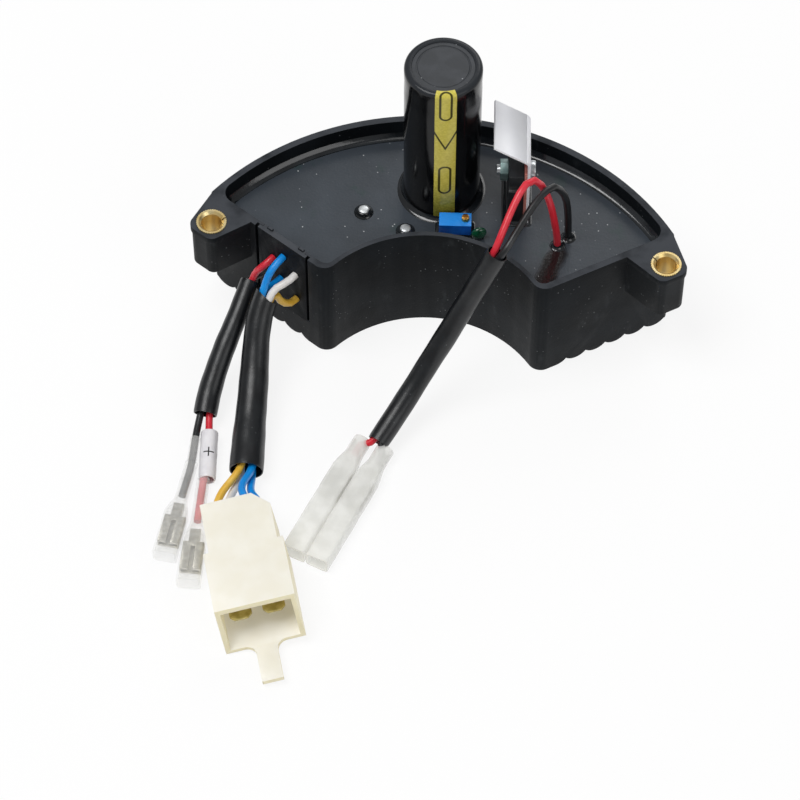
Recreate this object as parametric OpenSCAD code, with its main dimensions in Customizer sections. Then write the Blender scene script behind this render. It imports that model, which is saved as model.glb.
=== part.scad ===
// Half-moon voltage regulator and rectifier module for a small generator, with its wiring harness.
// Millimetres, +Z up. The module stands on its ribbed underside, and its harness lies on the same surface.

/* [Housing] */
// Distance between the two mounting holes
hole_pitch = 130; // [126:1:134]
// Radius of the outer rim, about the centre of the crescent
rim_r = 80; // [79:0.5:82]
// Radius of the bay on the inner side of the crescent
bay_r = 36.2; // [34:0.2:38]
// Angle of each end wall above the line through the centre
end_ang = 33; // [31:0.5:34]
// Height of the housing, from the ribs to the rim
case_h = 40; // [38:0.5:42]
// Thickness of the wall along the rim
rim_wall = 2; // [1.6:0.1:2.6]
// Thickness of the wall along the bay
bay_wall = 1.4; // [1.2:0.1:2]
// Thickness of each end wall
end_wall = 2; // [1.8:0.1:2.4]
// Thickness of the floor, ribs included
floor_t = 8.5; // [8:0.5:10]
// Depth of the potting surface below the rim
fill_drop = 6.5; // [5:0.5:8]
// Distance between the cooling ribs
rib_pitch = 6.45; // [6:0.05:6.8]
// Radius of each rib's round nose
rib_r = 4; // [3.8:0.1:4.4]

/* [Ears and bushes] */
// Thickness of each mounting ear
ear_t = 16.5; // [15:0.5:18]
// Height of the lip round the top of an ear
ear_lip = 2.3; // [1.5:0.1:3]
// How far the bush axis stands out from the end wall
ear_v = 7.2; // [6.8:0.1:7.6]
// Outer diameter of a bush below its knurled collar
bush_d = 8.3; // [8:0.1:8.8]
// Bore of a bush
bush_bore = 6; // [5.5:0.1:6.5]
// Number of teeth round a bush's collar
bush_teeth = 40; // [32:4:48]

/* [Capacitor] */
// Diameter over the capacitor's sleeve
cap_d = 22; // [20:0.5:23]
// Length of the capacitor's can
cap_len = 60; // [55:1:62]
// Depth of the can in the potting
cap_sink = 5; // [4:0.5:6]

/* [Transistor and plate] */
// Depth of the aluminium plate, front to back
plate_w = 17.5; // [16:0.5:19]
// Thickness of the aluminium plate
plate_t = 0.8; // [0.8:0.1:1.2]
// Height of the plate's upright leg above the potting
plate_leg = 26; // [24:0.5:28]
// Length of the plate's sloping flap
plate_flap = 11; // [10:0.5:12]
// Angle that the flap rises above the horizontal
flap_ang = 35; // [30:1:40]

/* [Trimmer] */
// Width of the trimmer
trim_w = 9.2; // [9:0.1:9.6]
// Depth of the trimmer, front to back
trim_d = 4.7; // [4.5:0.1:4.9]
// Height of the trimmer above the potting
trim_up = 5; // [4.5:0.1:5.5]
// Diameter of the adjusting screw's head
trim_screw_d = 2.2; // [2:0.1:2.4]

/* [Harness] */
// Diameter of the four wires that go to the plug
plug_wire_d = 2.2; // [2:0.1:2.2]
// Diameter of the wires that end in spade terminals
spade_wire_d = 2.1; // [1.9:0.1:2.1]
// Width of the plug at its mouth
plug_w = 22.6; // [22:0.2:23]
// Height of the plug
plug_h = 15; // [14.5:0.5:15.5]
// Width of a blade contact
blade_w = 6.3; // [6.2:0.1:6.4]
// Width of a terminal boot
boot_w = 7; // [6.8:0.1:7.2]

/* [Hidden] */
$fn = 64;
tiny = 0.01;
far = 200;

// Crescent, in plan. Round corners stand proud by the blend, so that they cross their neighbours cleanly
blend = 0.015;
tip_r = 4;
rim_corner_r = 1.5;
inner_tip_r = 2.6;
inner_corner_r = 4;
tip_ang = end_ang + asin(tip_r / (bay_r + tip_r));
tip_low = (bay_r + tip_r) * sin(tip_ang) - tip_r - blend;
arc_y = -(rim_r + tip_low) / 2;
fill_z = case_h - fill_drop;
mid_r = (bay_r + rim_r) / 2;
band_r = 43.1;
rib_count = 6;
valley_z = rib_r - sqrt(rib_r * rib_r - rib_pitch * rib_pitch / 4);

// Ears, in the frame of an end wall: u runs outward along the wall, v stands out from it
ear_u = (hole_pitch / 2 - ear_v * sin(end_ang)) / cos(end_ang);
ear_in = 9.05;
ear_out = 6.95;
ear_reach = 12.4;
ear_round = 3;
ear_nose = 2.1;
ear_step = 0.4;
collar_h = 0.35;
collar_r = bush_d / 2 + 0.25;
tooth_h = 0.2;

// Wire exit plate, in the frame of the left end wall
exit_u = [43, 62.6];
exit_gap = 0.9;
exit_z = 9.5;
exit_t = 1.2;
exit_rim = 2;
hole_gap = 0.15;

// Board and the pieces on it
board_z = 22;
board_t = 1.6;
board_top = board_z + board_t;
axial_lift = 0.3;
cap_x = -1.6;
cap_y = 7.6;
cap_z = fill_z - cap_sink;
cap_skin = 0.3;
disc_t = 1.2;
trim_x = 3.9;
trim_y = -6.7;
trim_z = fill_z + trim_up - 10;
trim_turn = 4.6;
trim_screw_x = 2.9;
trim_bore_r = 0.75;
trim_shaft_r = 0.7;
trim_depth = 7;
power_x = 23.7;
power_y = 6.5;
power_turn = 5.5;
pad_t = 0.8;
pack_t = 4.4;
pack_w = 15.9;
pack_h = 21.5;
pack_z = fill_z - 1;
screw_z = fill_z + 14;
screw_r = 1.5;
plate_sink = 3;
bend_r = 2;

// Harness exits: place along the end wall and height
exit_red = [56.2, 30];
exit_blue = [52.3, 33.4];
exit_blue_2 = [53.5, 22.3];
exit_white = [48, 28.5];
exit_yellow = [47.9, 17.4];
exit_black = [58.6, 22.5];

// Sleeve routes, from the module outward
thick_route = [[-47.9, -30.1, 24.4], [-49, -34, 21.5], [-49.5, -38.6, 18.1], [-49.4, -44.2, 14.2],
    [-49.1, -50.5, 10.6], [-48.8, -57.5, 8], [-48.5, -64.5, 6.4], [-48.1, -71, 5.5], [-47.7, -77.2, 5]];
thin_route = [[-53.6, -22.9, 21.6], [-55.1, -28.4, 18.8], [-56.8, -34.6, 16.2], [-58.7, -41, 13.4],
    [-60.4, -47, 10], [-61.7, -53, 6.6], [-62.2, -59, 4.4]];
output_route = [[17.8, -27.7, 52], [13.8, -30.8, 43.8], [9.7, -34.2, 35.4], [5.2, -38.6, 26.6],
    [0.6, -43.4, 18.6], [-3.8, -49.4, 12.2], [-8, -56.2, 7.7], [-11.8, -63.2, 5]];
thick_cut = 0.5;
thick_r = [for (i = [0:8]) 3.5 + 1.5 * i / 8];
thin_r = [for (i = [0:6]) 2.8 + 0.7 * i / 6];
output_r = 3.2;
skin = 0.4;

// Loops of the output pair above the potting
loop_red = [[33.6, -9, fill_z], [33.3, -9, 38], [32.3, -8.7, 44.5], [31, -8.3, 51], [28.9, -8, 57.6],
    [26.4, -8.4, 62], [23.9, -10.8, 63], [21.4, -15.6, 60.6]];
loop_black = [[36.4, -5.6, fill_z], [36.2, -5.6, 38], [35.9, -5.4, 44], [35.2, -5.3, 50],
    [33.7, -5.9, 55], [31.2, -7.8, 58.9], [28, -12, 59.2], [24.6, -18, 57.2]];

// Plug and boots: place of the rear centre, turn from -Y, and roll about the plug's left bottom edge
plug_at = [-46.5, -93, 0];
plug_turn = 17.5;
plug_roll = 8;
plug_rear_w = 19.4;
plug_rear_l = 17;
plug_roof_l = 35;
plug_floor_l = 40;
plug_wall = 1.4;
blade_pitch = 9.4;
blade_z = 9;
blade_t = 0.8;
blade_tip = 35.5;
barrel_y = -2.5;
pair_x = 1.4;
boot_h = 5.6;
boot_z = 2.8;
boot_box_l = 13;
out_box_l = 30;
boot_cone_l = 7.5;
boot_skin = 0.5;
black_boot_at = [-63.8, -75.5, boot_z];
black_boot_turn = -5.3;
red_boot_at = [-59.6, -80.4, boot_z];
red_boot_turn = 1.4;
out_turn = -20;
black_neck = 11;
red_neck = 14;
out_neck = 3;
out_black_boot_at = [-10.3, -66, boot_z];
out_red_boot_at = [-17.1, -63.6, boot_z];
neck_sleeve_route = [[-63.89, -66.6, 3.17], [-63.81, -74.6, 2.84]];

function unit(v) = v / norm(v);
function tangent(p, i) =
    i == 0 ? unit(p[1] - p[0])
    : i == len(p) - 1 ? unit(p[i] - p[i - 1])
    : unit(unit(p[i] - p[i - 1]) + unit(p[i + 1] - p[i]));
function across(t, ref) = unit(ref - (ref * t) * t);
function at(r, i) = is_list(r) ? r[i] : r;

// Rings of n points along a route, each square to it but the first, which is cut at a slope
function rings(p, r, n, ref, cut = 0) = [for (i = [0:len(p) - 1])
    let (t = tangent(p, i), s = across(t, ref), u = cross(t, s), slope = i == 0 ? cut : 0)
    for (j = [0:n - 1])
        p[i] + at(r, i) * (cos(360 * j / n) * (s + slope * t) + sin(360 * j / n) * u)];

// Side faces of the rings that start at point a, turned inward for an inner wall
function skin_faces(count, n, a, inner) = [for (i = [0:count - 2], j = [0:n - 1])
    let (k = (j + 1) % n, q = [a + i * n + j, a + (i + 1) * n + j, a + (i + 1) * n + k, a + i * n + k])
    inner ? [q[3], q[2], q[1], q[0]] : q];

// A route that keeps a given place beside another one: angle and distance in its cross-section
function beside(p, ref, ang, turn, r0, r1) = [for (i = [0:len(p) - 1])
    let (t = tangent(p, i), s = across(t, ref), u = cross(t, s), f = i / (len(p) - 1),
        a = ang + turn * f, r = r0 + (r1 - r0) * f)
    p[i] + r * (cos(a) * s + sin(a) * u)];
function lead_in(p, route, back) = route[0] - back * tangent(route, 0) + 1.25 * (p - route[0]);

// Two points of the bend from an exit, square to the end wall, into the mouth of a sleeve
function bend(e, inside, route, reach) =
    let (a = wall_point(e[0], 2, e[1]), b = wall_point(e[0], 2 + reach, e[1]),
        d = inside[0], c = d - reach * tangent(route, 0))
    [for (t = [0.36, 0.72])
        pow(1 - t, 3) * a + 3 * t * pow(1 - t, 2) * b + 3 * t * t * (1 - t) * c + t * t * t * d];

// Points in the frame of the left end wall, of the plug and of a boot
function wall_point(u, v, z) = [
    u * cos(180 - end_ang) - v * sin(180 - end_ang),
    arc_y + u * sin(180 - end_ang) + v * cos(180 - end_ang), z];
function placed(at, turn, p) = at + [p[0] * cos(turn) - p[1] * sin(turn),
    p[0] * sin(turn) + p[1] * cos(turn), p[2]];
function in_plug(p) =
    let (x = p[0] + plug_w / 2)
    placed(plug_at, plug_turn, [x * cos(plug_roll) - p[2] * sin(plug_roll) - plug_w / 2, p[1],
        x * sin(plug_roll) + p[2] * cos(plug_roll)]);
function exit_points(e) = [wall_point(e[0], -end_wall, e[1]), wall_point(e[0], 2, e[1])];

module solid_tube(p, r, n, ref) {
    polyhedron(rings(p, r, n, ref), concat(
        [[for (j = [0:n - 1]) j]],
        skin_faces(len(p), n, 0, false),
        [[for (j = [0:n - 1]) len(p) * n - 1 - j]]), convexity = 8);
}

module hollow_tube(p, r, wall, n, ref, cut = 0) {
    m = len(p) * n;
    inner = [for (i = [0:len(p) - 1]) at(r, i) - wall];
    polyhedron(concat(rings(p, r, n, ref, cut), rings(p, inner, n, ref, cut)), concat(
        skin_faces(len(p), n, 0, false),
        skin_faces(len(p), n, m, true),
        [for (j = [0:n - 1]) let (k = (j + 1) % n) [j, k, m + k, m + j]],
        [for (j = [0:n - 1]) let (k = (j + 1) % n) [m - n + k, m - n + j, 2 * m - n + j, 2 * m - n + k]]),
        convexity = 12);
}

// Everything between the two end walls, set in by e, from the angle b upward
module wedge(b, e) {
    top = e / cos(end_ang);
    polygon([[0, top], [far * cos(b), top + far * sin(b)], [far, 2 * far], [-far, 2 * far],
        [-far * cos(b), top + far * sin(b)]]);
}

module band(r1, r2, b, e) {
    intersection() {
        difference() {
            circle(r2);
            circle(r1);
        }
        wedge(b, e);
    }
}

// Outline of the crescent between two radii, its ends set in by e, with round tips and corners
module crescent(r_in, r_out, e, r_tip, r_corner) {
    b_in = end_ang + asin((e + r_tip) / (r_in + r_tip));
    b_out = end_ang + asin((e + r_corner) / (r_out - r_corner));
    t_in = sqrt(pow(r_in + r_tip, 2) - pow(e + r_tip, 2) + e * e);
    t_out = sqrt(pow(r_out - r_corner, 2) - pow(e + r_corner, 2) + e * e);
    translate([0, arc_y])
        union() {
            band(r_in, mid_r, b_in, 0);
            band(mid_r - 1, r_out, b_out, 0);
            band(t_in, t_out, end_ang, e);
            for (s = [0, 1])
                mirror([s, 0]) {
                    rotate(b_in) translate([r_in + r_tip, 0]) circle(r_tip + blend);
                    rotate(b_out) translate([r_out - r_corner, 0]) circle(r_corner + blend);
                }
        }
}

module tray_hollow() {
    translate([0, 0, floor_t])
        linear_extrude(case_h)
            crescent(bay_r + bay_wall, rim_r - rim_wall, end_wall, inner_tip_r, inner_corner_r);
}

module left_end() {
    translate([0, arc_y, 0])
        rotate([0, 0, 180 - end_ang])
            children();
}

module right_end() {
    mirror([1, 0, 0])
        left_end()
            children();
}

// Where a line from a point touches a circle, on the left of the line for side 1 and on its right for side -1
function touch(p, c, r, side) =
    let (d = c - p, a = atan2(d[1], d[0]) + side * asin(r / norm(d)) + side * 90)
    c + r * [cos(a), sin(a)];

// The foot of an ear lies inside the end wall, and its sides run on to the nose circles
module ear_outline(inset) {
    r = ear_round - inset;
    v = ear_reach - ear_round;
    foot = [[ear_u - ear_in + inset, -end_wall / 2], [ear_u + ear_out - inset, -end_wall / 2]];
    nose = [[ear_u - ear_nose, v], [ear_u + ear_nose, v]];
    polygon([foot[0], touch(foot[0], nose[0], r, 1), nose[0] + [0, r],
        nose[1] + [0, r], touch(foot[1], nose[1], r, -1), foot[1]]);
    for (c = nose)
        translate(c) circle(r + blend);
}

module ear_body() {
    translate([0, 0, case_h - ear_t]) linear_extrude(ear_t - ear_lip) ear_outline(ear_step);
}

// Section of the body: ribs with round noses under a plain block
module body_section() {
    translate([bay_r - 2, 0]) square([band_r - bay_r + 2, case_h]);
    translate([band_r, valley_z]) square([rim_r - band_r + 2, case_h - valley_z]);
    for (k = [0:rib_count - 1])
        translate([band_r + k * rib_pitch, rib_r]) circle(rib_r);
}

module body_outline() {
    crescent(bay_r, rim_r, 0, tip_r, rim_corner_r);
}

module body_block() {
    intersection() {
        translate([0, arc_y, 0]) rotate_extrude() body_section();
        linear_extrude(case_h - ear_lip) body_outline();
    }
}

// The top of the body and both ears, in one layer
module top_layer() {
    translate([0, 0, case_h - ear_lip])
        linear_extrude(ear_lip)
            union() {
                body_outline();
                left_end() ear_outline(0);
                right_end() ear_outline(0);
            }
}

module exit_recess() {
    left_end() {
        translate([exit_u[0], -exit_t, exit_z])
            cube([exit_u[1] - exit_u[0], exit_t + 1, case_h]);
        translate([exit_u[0] + exit_rim, -end_wall - 1, exit_z + exit_rim])
            cube([exit_u[1] - exit_u[0] - 2 * exit_rim, end_wall + 2, case_h]);
    }
}

module bush_hole() {
    translate([ear_u, ear_v, case_h - ear_t - 1]) cylinder(h = ear_t + 2, d = bush_d);
}

module housing() {
    color("#26282a")
        difference() {
            union() {
                body_block();
                top_layer();
                left_end() ear_body();
                right_end() ear_body();
            }
            tray_hollow();
            exit_recess();
            left_end() bush_hole();
            right_end() bush_hole();
        }
}

module wire_exit_plate() {
    color("#2b2d2f")
        left_end()
            difference() {
                union() {
                    translate([exit_u[0] + exit_gap, -exit_t, exit_z])
                        cube([exit_u[1] - exit_u[0] - 2 * exit_gap, exit_t, case_h - exit_z]);
                    translate([exit_u[0] + exit_rim, -end_wall, exit_z + exit_rim])
                        cube([exit_u[1] - exit_u[0] - 2 * exit_rim, end_wall - exit_t, case_h - exit_z - exit_rim]);
                }
                for (e = [exit_blue, exit_blue_2, exit_white, exit_yellow])
                    wire_hole(e, plug_wire_d);
                for (e = [exit_red, exit_black])
                    wire_hole(e, spade_wire_d);
            }
}

module wire_hole(e, d) {
    translate([e[0], 1, e[1]])
        rotate([90, 0, 0])
            cylinder(h = end_wall + 2, r = d / 2 + hole_gap);
}

// A split bush with a toothed collar, pressed in from the top
module bush() {
    translate([ear_u, ear_v, case_h - ear_t])
        difference() {
            union() {
                cylinder(h = ear_t, d = bush_d);
                translate([0, 0, ear_t])
                    linear_extrude(collar_h)
                        polygon([for (i = [0:2 * bush_teeth - 1])
                            let (r = i % 2 == 0 ? collar_r : collar_r - tooth_h)
                            [r * cos(180 * i / bush_teeth), r * sin(180 * i / bush_teeth)]]);
            }
            translate([0, 0, -1]) cylinder(h = ear_t + 3, d = bush_bore);
            translate([0, 0, ear_t + collar_h - 0.7])
                cylinder(h = 0.71, r1 = bush_bore / 2, r2 = bush_bore / 2 + 0.71);
            rotate([0, 0, -end_ang - 90])
                translate([0, -0.2, -1]) cube([bush_d, 0.4, ear_t + 3]);
        }
}

module bush_left() {
    color("#d8b15c") left_end() bush();
}

module bush_right() {
    color("#d8b15c") right_end() bush();
}

module board_outline() {
    crescent(bay_r + bay_wall + 1.5, rim_r - rim_wall - 2, end_wall + 2, 3, 3);
}

module circuit_board() {
    color("#2f6b3c")
        translate([0, 0, board_z])
            linear_extrude(board_t)
                board_outline();
}

module at_cap() {
    translate([cap_x, cap_y, 0]) children();
}

module capacitor_can() {
    color("#c9ccd0")
        at_cap()
            translate([0, 0, cap_z])
                cylinder(h = cap_len - disc_t, r = cap_d / 2 - cap_skin);
}

// The shrink sleeve: round shoulder, and a lip over the end disc
module capacitor_sleeve() {
    color("#17181a")
        at_cap()
            translate([0, 0, cap_z])
                rotate_extrude()
                    difference() {
                        union() {
                            square([cap_d / 2, cap_len - 1]);
                            square([cap_d / 2 - 1, cap_len + cap_skin]);
                            translate([cap_d / 2 - 1.3, cap_len - 1]) circle(1.3);
                        }
                        translate([-1, -1]) square([cap_d / 2 - cap_skin + 1, cap_len + 1]);
                        translate([-1, -1]) square([cap_d / 2 - 1.3, cap_len + 4]);
                    }
}

module capacitor_top_disc() {
    color("#3d3f42")
        at_cap()
            translate([0, 0, cap_z + cap_len - disc_t])
                difference() {
                    cylinder(h = disc_t, r = cap_d / 2 - cap_skin);
                    translate([0, 0, disc_t - 0.3])
                        difference() {
                            cylinder(h = 1, r = cap_d / 2 * 0.72);
                            translate([0, 0, -1]) cylinder(h = 3, r = cap_d / 2 * 0.66);
                        }
                }
}

module capacitor_pins() {
    color("#b8bcc0")
        at_cap()
            for (s = [-1, 1])
                translate([5 * s, 0, board_top])
                    cylinder(h = cap_z - board_top, d = 1.5);
}

module at_power() {
    translate([power_x, power_y, 0])
        rotate([0, 0, power_turn])
            children();
}

// The plate's section: upright leg, round bend, and a flap that slopes up to the left
module plate_section() {
    leg = plate_leg + plate_sink;
    translate([-plate_t, 0]) square([plate_t, leg]);
    translate([-plate_t - bend_r, leg]) {
        intersection() {
            difference() {
                circle(bend_r + plate_t);
                circle(bend_r);
            }
            polygon([[0, 0], [far, 0], [far, far], [far * cos(90 - flap_ang), far * sin(90 - flap_ang)]]);
        }
        rotate(90 - flap_ang) translate([bend_r, 0]) square([plate_t, plate_flap]);
    }
}

module heat_sink_plate() {
    color("#d6d8dc")
        at_power()
            difference() {
                translate([0, plate_w / 2, fill_z - plate_sink])
                    rotate([90, 0, 0])
                        linear_extrude(plate_w)
                            plate_section();
                translate([-5, 0, screw_z]) rotate([0, 90, 0]) cylinder(h = 10, r = screw_r + 0.1);
            }
}

module insulating_pad() {
    color("#b98079")
        at_power()
            difference() {
                translate([-plate_t - pad_t, -pack_w / 2 - 0.6, fill_z])
                    cube([pad_t, pack_w + 1.2, pack_h + 1]);
                translate([-5, 0, screw_z]) rotate([0, 90, 0]) cylinder(h = 10, r = screw_r + 0.1);
            }
}

module transistor_body() {
    color("#1a1b1c")
        at_power()
            difference() {
                translate([-plate_t - pad_t - pack_t, -pack_w / 2, pack_z])
                    cube([pack_t, pack_w, pack_h]);
                translate([-10, 0, screw_z]) rotate([0, 90, 0]) cylinder(h = 10, r = screw_r + 0.3);
                for (s = [-1, 1])
                    translate([-plate_t - pad_t - pack_t, s * pack_w / 2, screw_z + 1])
                        rotate([0, 90, 0])
                            translate([0, 0, -1]) cylinder(h = pack_t, r = 1.4);
            }
}

module transistor_leads() {
    color("#b8bcc0")
        at_power()
            for (k = [-1, 0, 1])
                translate([-plate_t - pad_t - 2.6, 5.45 * k - 0.6, board_top])
                    cube([0.6, 1.2, pack_z - board_top]);
}

module clamp_screw() {
    color("#c4c8cc")
        at_power()
            translate([0, 0, screw_z])
                rotate([0, 90, 0])
                    difference() {
                        union() {
                            cylinder(h = 1.7, r = 2.8);
                            translate([0, 0, -9.4]) cylinder(h = 9.4 + tiny, r = screw_r);
                        }
                        for (a = [0, 90])
                            rotate([0, 0, a]) translate([-1.6, -0.35, 0.7]) cube([3.2, 0.7, 2]);
                    }
}

module clamp_nut() {
    color("#7f9896")
        at_power()
            translate([-plate_t - pad_t - pack_t, 0, screw_z])
                rotate([0, -90, 0])
                    difference() {
                        cylinder(h = 2.4, r = 5.5 / sqrt(3), $fn = 6);
                        translate([0, 0, -1]) cylinder(h = 5, r = screw_r);
                    }
}

module at_trimmer() {
    translate([trim_x, trim_y, 0])
        rotate([0, 0, trim_turn])
            children();
}

module trimmer_body() {
    color("#0f62c4")
        at_trimmer()
            difference() {
                translate([-trim_w / 2, -trim_d / 2, trim_z]) cube([trim_w, trim_d, 10]);
                translate([trim_screw_x, 0, trim_z + 10 - trim_depth]) cylinder(h = trim_depth + 1, r = trim_bore_r);
            }
}

module trimmer_screw() {
    top = trim_z + 10;
    color("#c9a35a")
        at_trimmer()
            translate([trim_screw_x, 0, 0])
                difference() {
                    union() {
                        translate([0, 0, top + 0.1]) cylinder(h = 1.2, d = trim_screw_d);
                        translate([0, 0, top + 0.3 - trim_depth]) cylinder(h = trim_depth - 0.1, r = trim_shaft_r);
                    }
                    translate([-2, -0.25, top + 0.8]) cube([4, 0.5, 1]);
                }
}

module trimmer_pins() {
    color("#b8bcc0")
        at_trimmer()
            for (k = [-1, 0, 1])
                translate([2.54 * k, 0, board_top])
                    cylinder(h = trim_z - board_top, d = 0.6);
}

// A small dipped disc on two wire legs
module ceramic_capacitor() {
    color("#2f6f55")
        translate([11, -9, 0])
            rotate([0, 0, 20]) {
                translate([0, 1, fill_z + 2.6])
                    rotate([90, 0, 0])
                        cylinder(h = 2, r = 2.2);
                for (s = [-1, 1])
                    translate([1.2 * s, 0, board_top]) cylinder(h = fill_z + 2.2 - board_top, d = 0.6);
            }
}

// Round-headed posts that stand in the potting surface
module dome_posts() {
    color("#aab0b4")
        for (p = [[-22.9, -3.4], [-10.2, -8.8]])
            translate([p[0], p[1], 0]) {
                translate([0, 0, board_top]) cylinder(h = fill_z - board_top + 0.6, r = 1);
                translate([0, 0, fill_z])
                    intersection() {
                        translate([0, 0, -0.5]) sphere(2.2);
                        cylinder(h = 3, r = 3);
                    }
            }
}

module bridge_rectifier() {
    color("#202224")
        translate([31, -1, 0])
            rotate([0, 0, 58]) {
                translate([-9, -9, floor_t]) cube([18, 18, 7]);
                for (x = [-6, 6], y = [-6, 6])
                    translate([x, y, floor_t + 6]) cylinder(h = board_z - floor_t - 6, d = 1.2);
            }
}

// A round body lying just over the board, with a bent flat leg at each end
module axial_part(l, r, leg_r) {
    axis_z = board_top + axial_lift + r;
    translate([-l / 2, 0, axis_z]) rotate([0, 90, 0]) cylinder(h = l, r = r);
    for (s = [-1, 1]) {
        translate([s * (l / 2 + 0.2) - 1, -leg_r, axis_z - leg_r]) cube([2, 2 * leg_r, 2 * leg_r]);
        translate([s * (l / 2 + 1.2 - leg_r) - leg_r, -leg_r, board_top])
            cube([2 * leg_r, 2 * leg_r, axis_z - board_top]);
    }
}

module power_diodes() {
    color("#2a2c2e")
        for (p = [[-36, -6], [-39, 4]])
            translate([p[0], p[1], 0]) rotate([0, 0, -30]) axial_part(9.4, 2.7, 0.6);
}

module power_resistors() {
    color("#c9b48c")
        for (y = [10, 17])
            translate([-25, y, 0]) rotate([0, 0, 12]) axial_part(15, 2.6, 0.4);
}

module control_chip() {
    color("#18191a")
        translate([36, 12, board_top])
            rotate([0, 0, 35]) {
                translate([-4.7, -3.1, 0.5]) cube([9.4, 6.2, 3.3]);
                for (k = [0:3], s = [-1, 1])
                    translate([2.54 * (k - 1.5) - 0.3, s * 3.45 - 0.35, 0]) cube([0.6, 0.7, 2.5]);
            }
}

module film_capacitor() {
    color("#c9b23a")
        translate([-49.5, -3.5, 0])
            rotate([0, 0, -50]) translate([-6.5, -3, board_top]) cube([13, 6, 8]);
}

// The compound fills the tray and closes round whatever stands in it
module potting_compound() {
    color("#2e3033")
        difference() {
            translate([0, 0, floor_t])
                linear_extrude(fill_z - floor_t)
                    crescent(bay_r + bay_wall, rim_r - rim_wall, end_wall, inner_tip_r, inner_corner_r);
            circuit_board();
            at_cap() translate([0, 0, cap_z]) cylinder(h = cap_len, d = cap_d);
            capacitor_pins();
            transistor_leads();
            transistor_body();
            at_power()
                translate([-plate_t, -plate_w / 2, fill_z - plate_sink]) cube([plate_t, plate_w, 10]);
            at_trimmer() translate([-trim_w / 2, -trim_d / 2, trim_z]) cube([trim_w, trim_d, 10]);
            trimmer_pins();
            ceramic_capacitor();
            for (p = [[-22.9, -3.4], [-10.2, -8.8]])
                translate([p[0], p[1], board_top]) cylinder(h = 20, r = 1);
            bridge_rectifier();
            power_diodes();
            power_resistors();
            control_chip();
            film_capacitor();
        }
}

// Wires
pair_ref = [0.8, -0.6, 0];
side_ref = [1, 0, 0];

function plug_wire_route(e, ang, mid, slot) =
    let (inside = beside(thick_route, side_ref, ang, 180, 1.72, 2.3))
    concat(exit_points(e), bend(e, inside, thick_route, 4.5), inside,
        [in_plug(mid), in_plug([slot, 0.5, blade_z]), in_plug([slot, barrel_y, blade_z])]);

module plug_wire(e, ang, mid, slot) {
    solid_tube(plug_wire_route(e, ang, mid, slot), plug_wire_d / 2, 8, side_ref);
}

module wire_blue() {
    color("#0a6fd0")
        plug_wire(exit_blue, 135, [4.5, 6.5, 5.6], blade_pitch / 2 + pair_x);
}

module wire_blue_2() {
    color("#0a6fd0")
        plug_wire(exit_blue_2, 225, [2.2, 6.5, 8.2], blade_pitch / 2 - pair_x);
}

module wire_white() {
    color("#e8e2e0")
        plug_wire(exit_white, 45, [-1.4, 6.5, 5.4], -blade_pitch / 2 + pair_x);
}

module wire_yellow() {
    color("#d9b23c")
        plug_wire(exit_yellow, 315, [-3.9, 6.5, 7.6], -blade_pitch / 2 - pair_x);
}

module wire_red() {
    inside = beside(thin_route, side_ref, 60, -60, 1.15, 1.3);
    color("#d8283c")
        solid_tube(concat(exit_points(exit_red), bend(exit_red, inside, thin_route, 4), inside,
            [[-60.3, -64.4, 3.4], [-59.7, -72, 3], red_boot_at,
                placed(red_boot_at, red_boot_turn, [0, -red_neck, 0])]),
            spade_wire_d / 2, 8, side_ref);
}

module wire_black() {
    inside = beside(thin_route, side_ref, 240, -60, 1.15, 1.3);
    color("#232527")
        solid_tube(concat(exit_points(exit_black), bend(exit_black, inside, thin_route, 1.6), inside,
            [[-63.9, -66, 3.2], black_boot_at, placed(black_boot_at, black_boot_turn, [0, -black_neck, 0])]),
            spade_wire_d / 2, 8, side_ref);
}

module wire_output_red() {
    inside = beside(output_route, pair_ref, 180, 0, 1.15, 1.15);
    color("#d8283c")
        solid_tube(concat(loop_red, [lead_in(inside[0], output_route, 2)], inside,
            [out_red_boot_at, placed(out_red_boot_at, out_turn, [0, -out_neck, 0])]),
            spade_wire_d / 2, 8, pair_ref);
}

module wire_output_black() {
    inside = beside(output_route, pair_ref, 0, 0, 1.15, 1.15);
    color("#232527")
        solid_tube(concat(loop_black, [lead_in(inside[0], output_route, 2)], inside,
            [out_black_boot_at, placed(out_black_boot_at, out_turn, [0, -out_neck, 0])]),
            spade_wire_d / 2, 8, pair_ref);
}

module sleeve_thick() {
    color("#1d1f21") hollow_tube(thick_route, thick_r, skin, 10, side_ref, thick_cut);
}

module sleeve_thin() {
    color("#1d1f21") hollow_tube(thin_route, thin_r, skin, 10, side_ref);
}

module sleeve_output() {
    color("#1d1f21") hollow_tube(output_route, output_r, skin, 10, pair_ref);
}

module marker_sleeve() {
    color("#f2eff2")
        translate([-60.1, -64.6, 3.3])
            rotate([92.5, 0, 5.5])
                difference() {
                    cylinder(h = 15.5, r = 2.5);
                    translate([0, 0, -1]) cylinder(h = 18, r = 2);
                }
}

// A clear sleeve over the black wire, behind its boot
module neck_sleeve() {
    color("#dededb") hollow_tube(neck_sleeve_route, 1.45, 0.3, 10, side_ref);
}

module at_boot(at, turn) {
    translate(at) rotate([0, 0, turn]) children();
}

// A push-on receptacle for a blade: crimp barrel, neck and rolled sides
module terminal(neck) {
    box_y = -neck - boot_cone_l;
    translate([-1.5, box_y - tiny, -1.1]) cube([3, boot_cone_l - 3, 2.2]);
    difference() {
        translate([-3, box_y - 9, -1.3]) cube([6, 9.01, 2.8]);
        translate([-2.6, box_y - 10, -0.5]) cube([5.2, 8.5, 1.2]);
        translate([-0.6, box_y - 10, 0]) cube([1.2, 8.5, 3]);
    }
}

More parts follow.
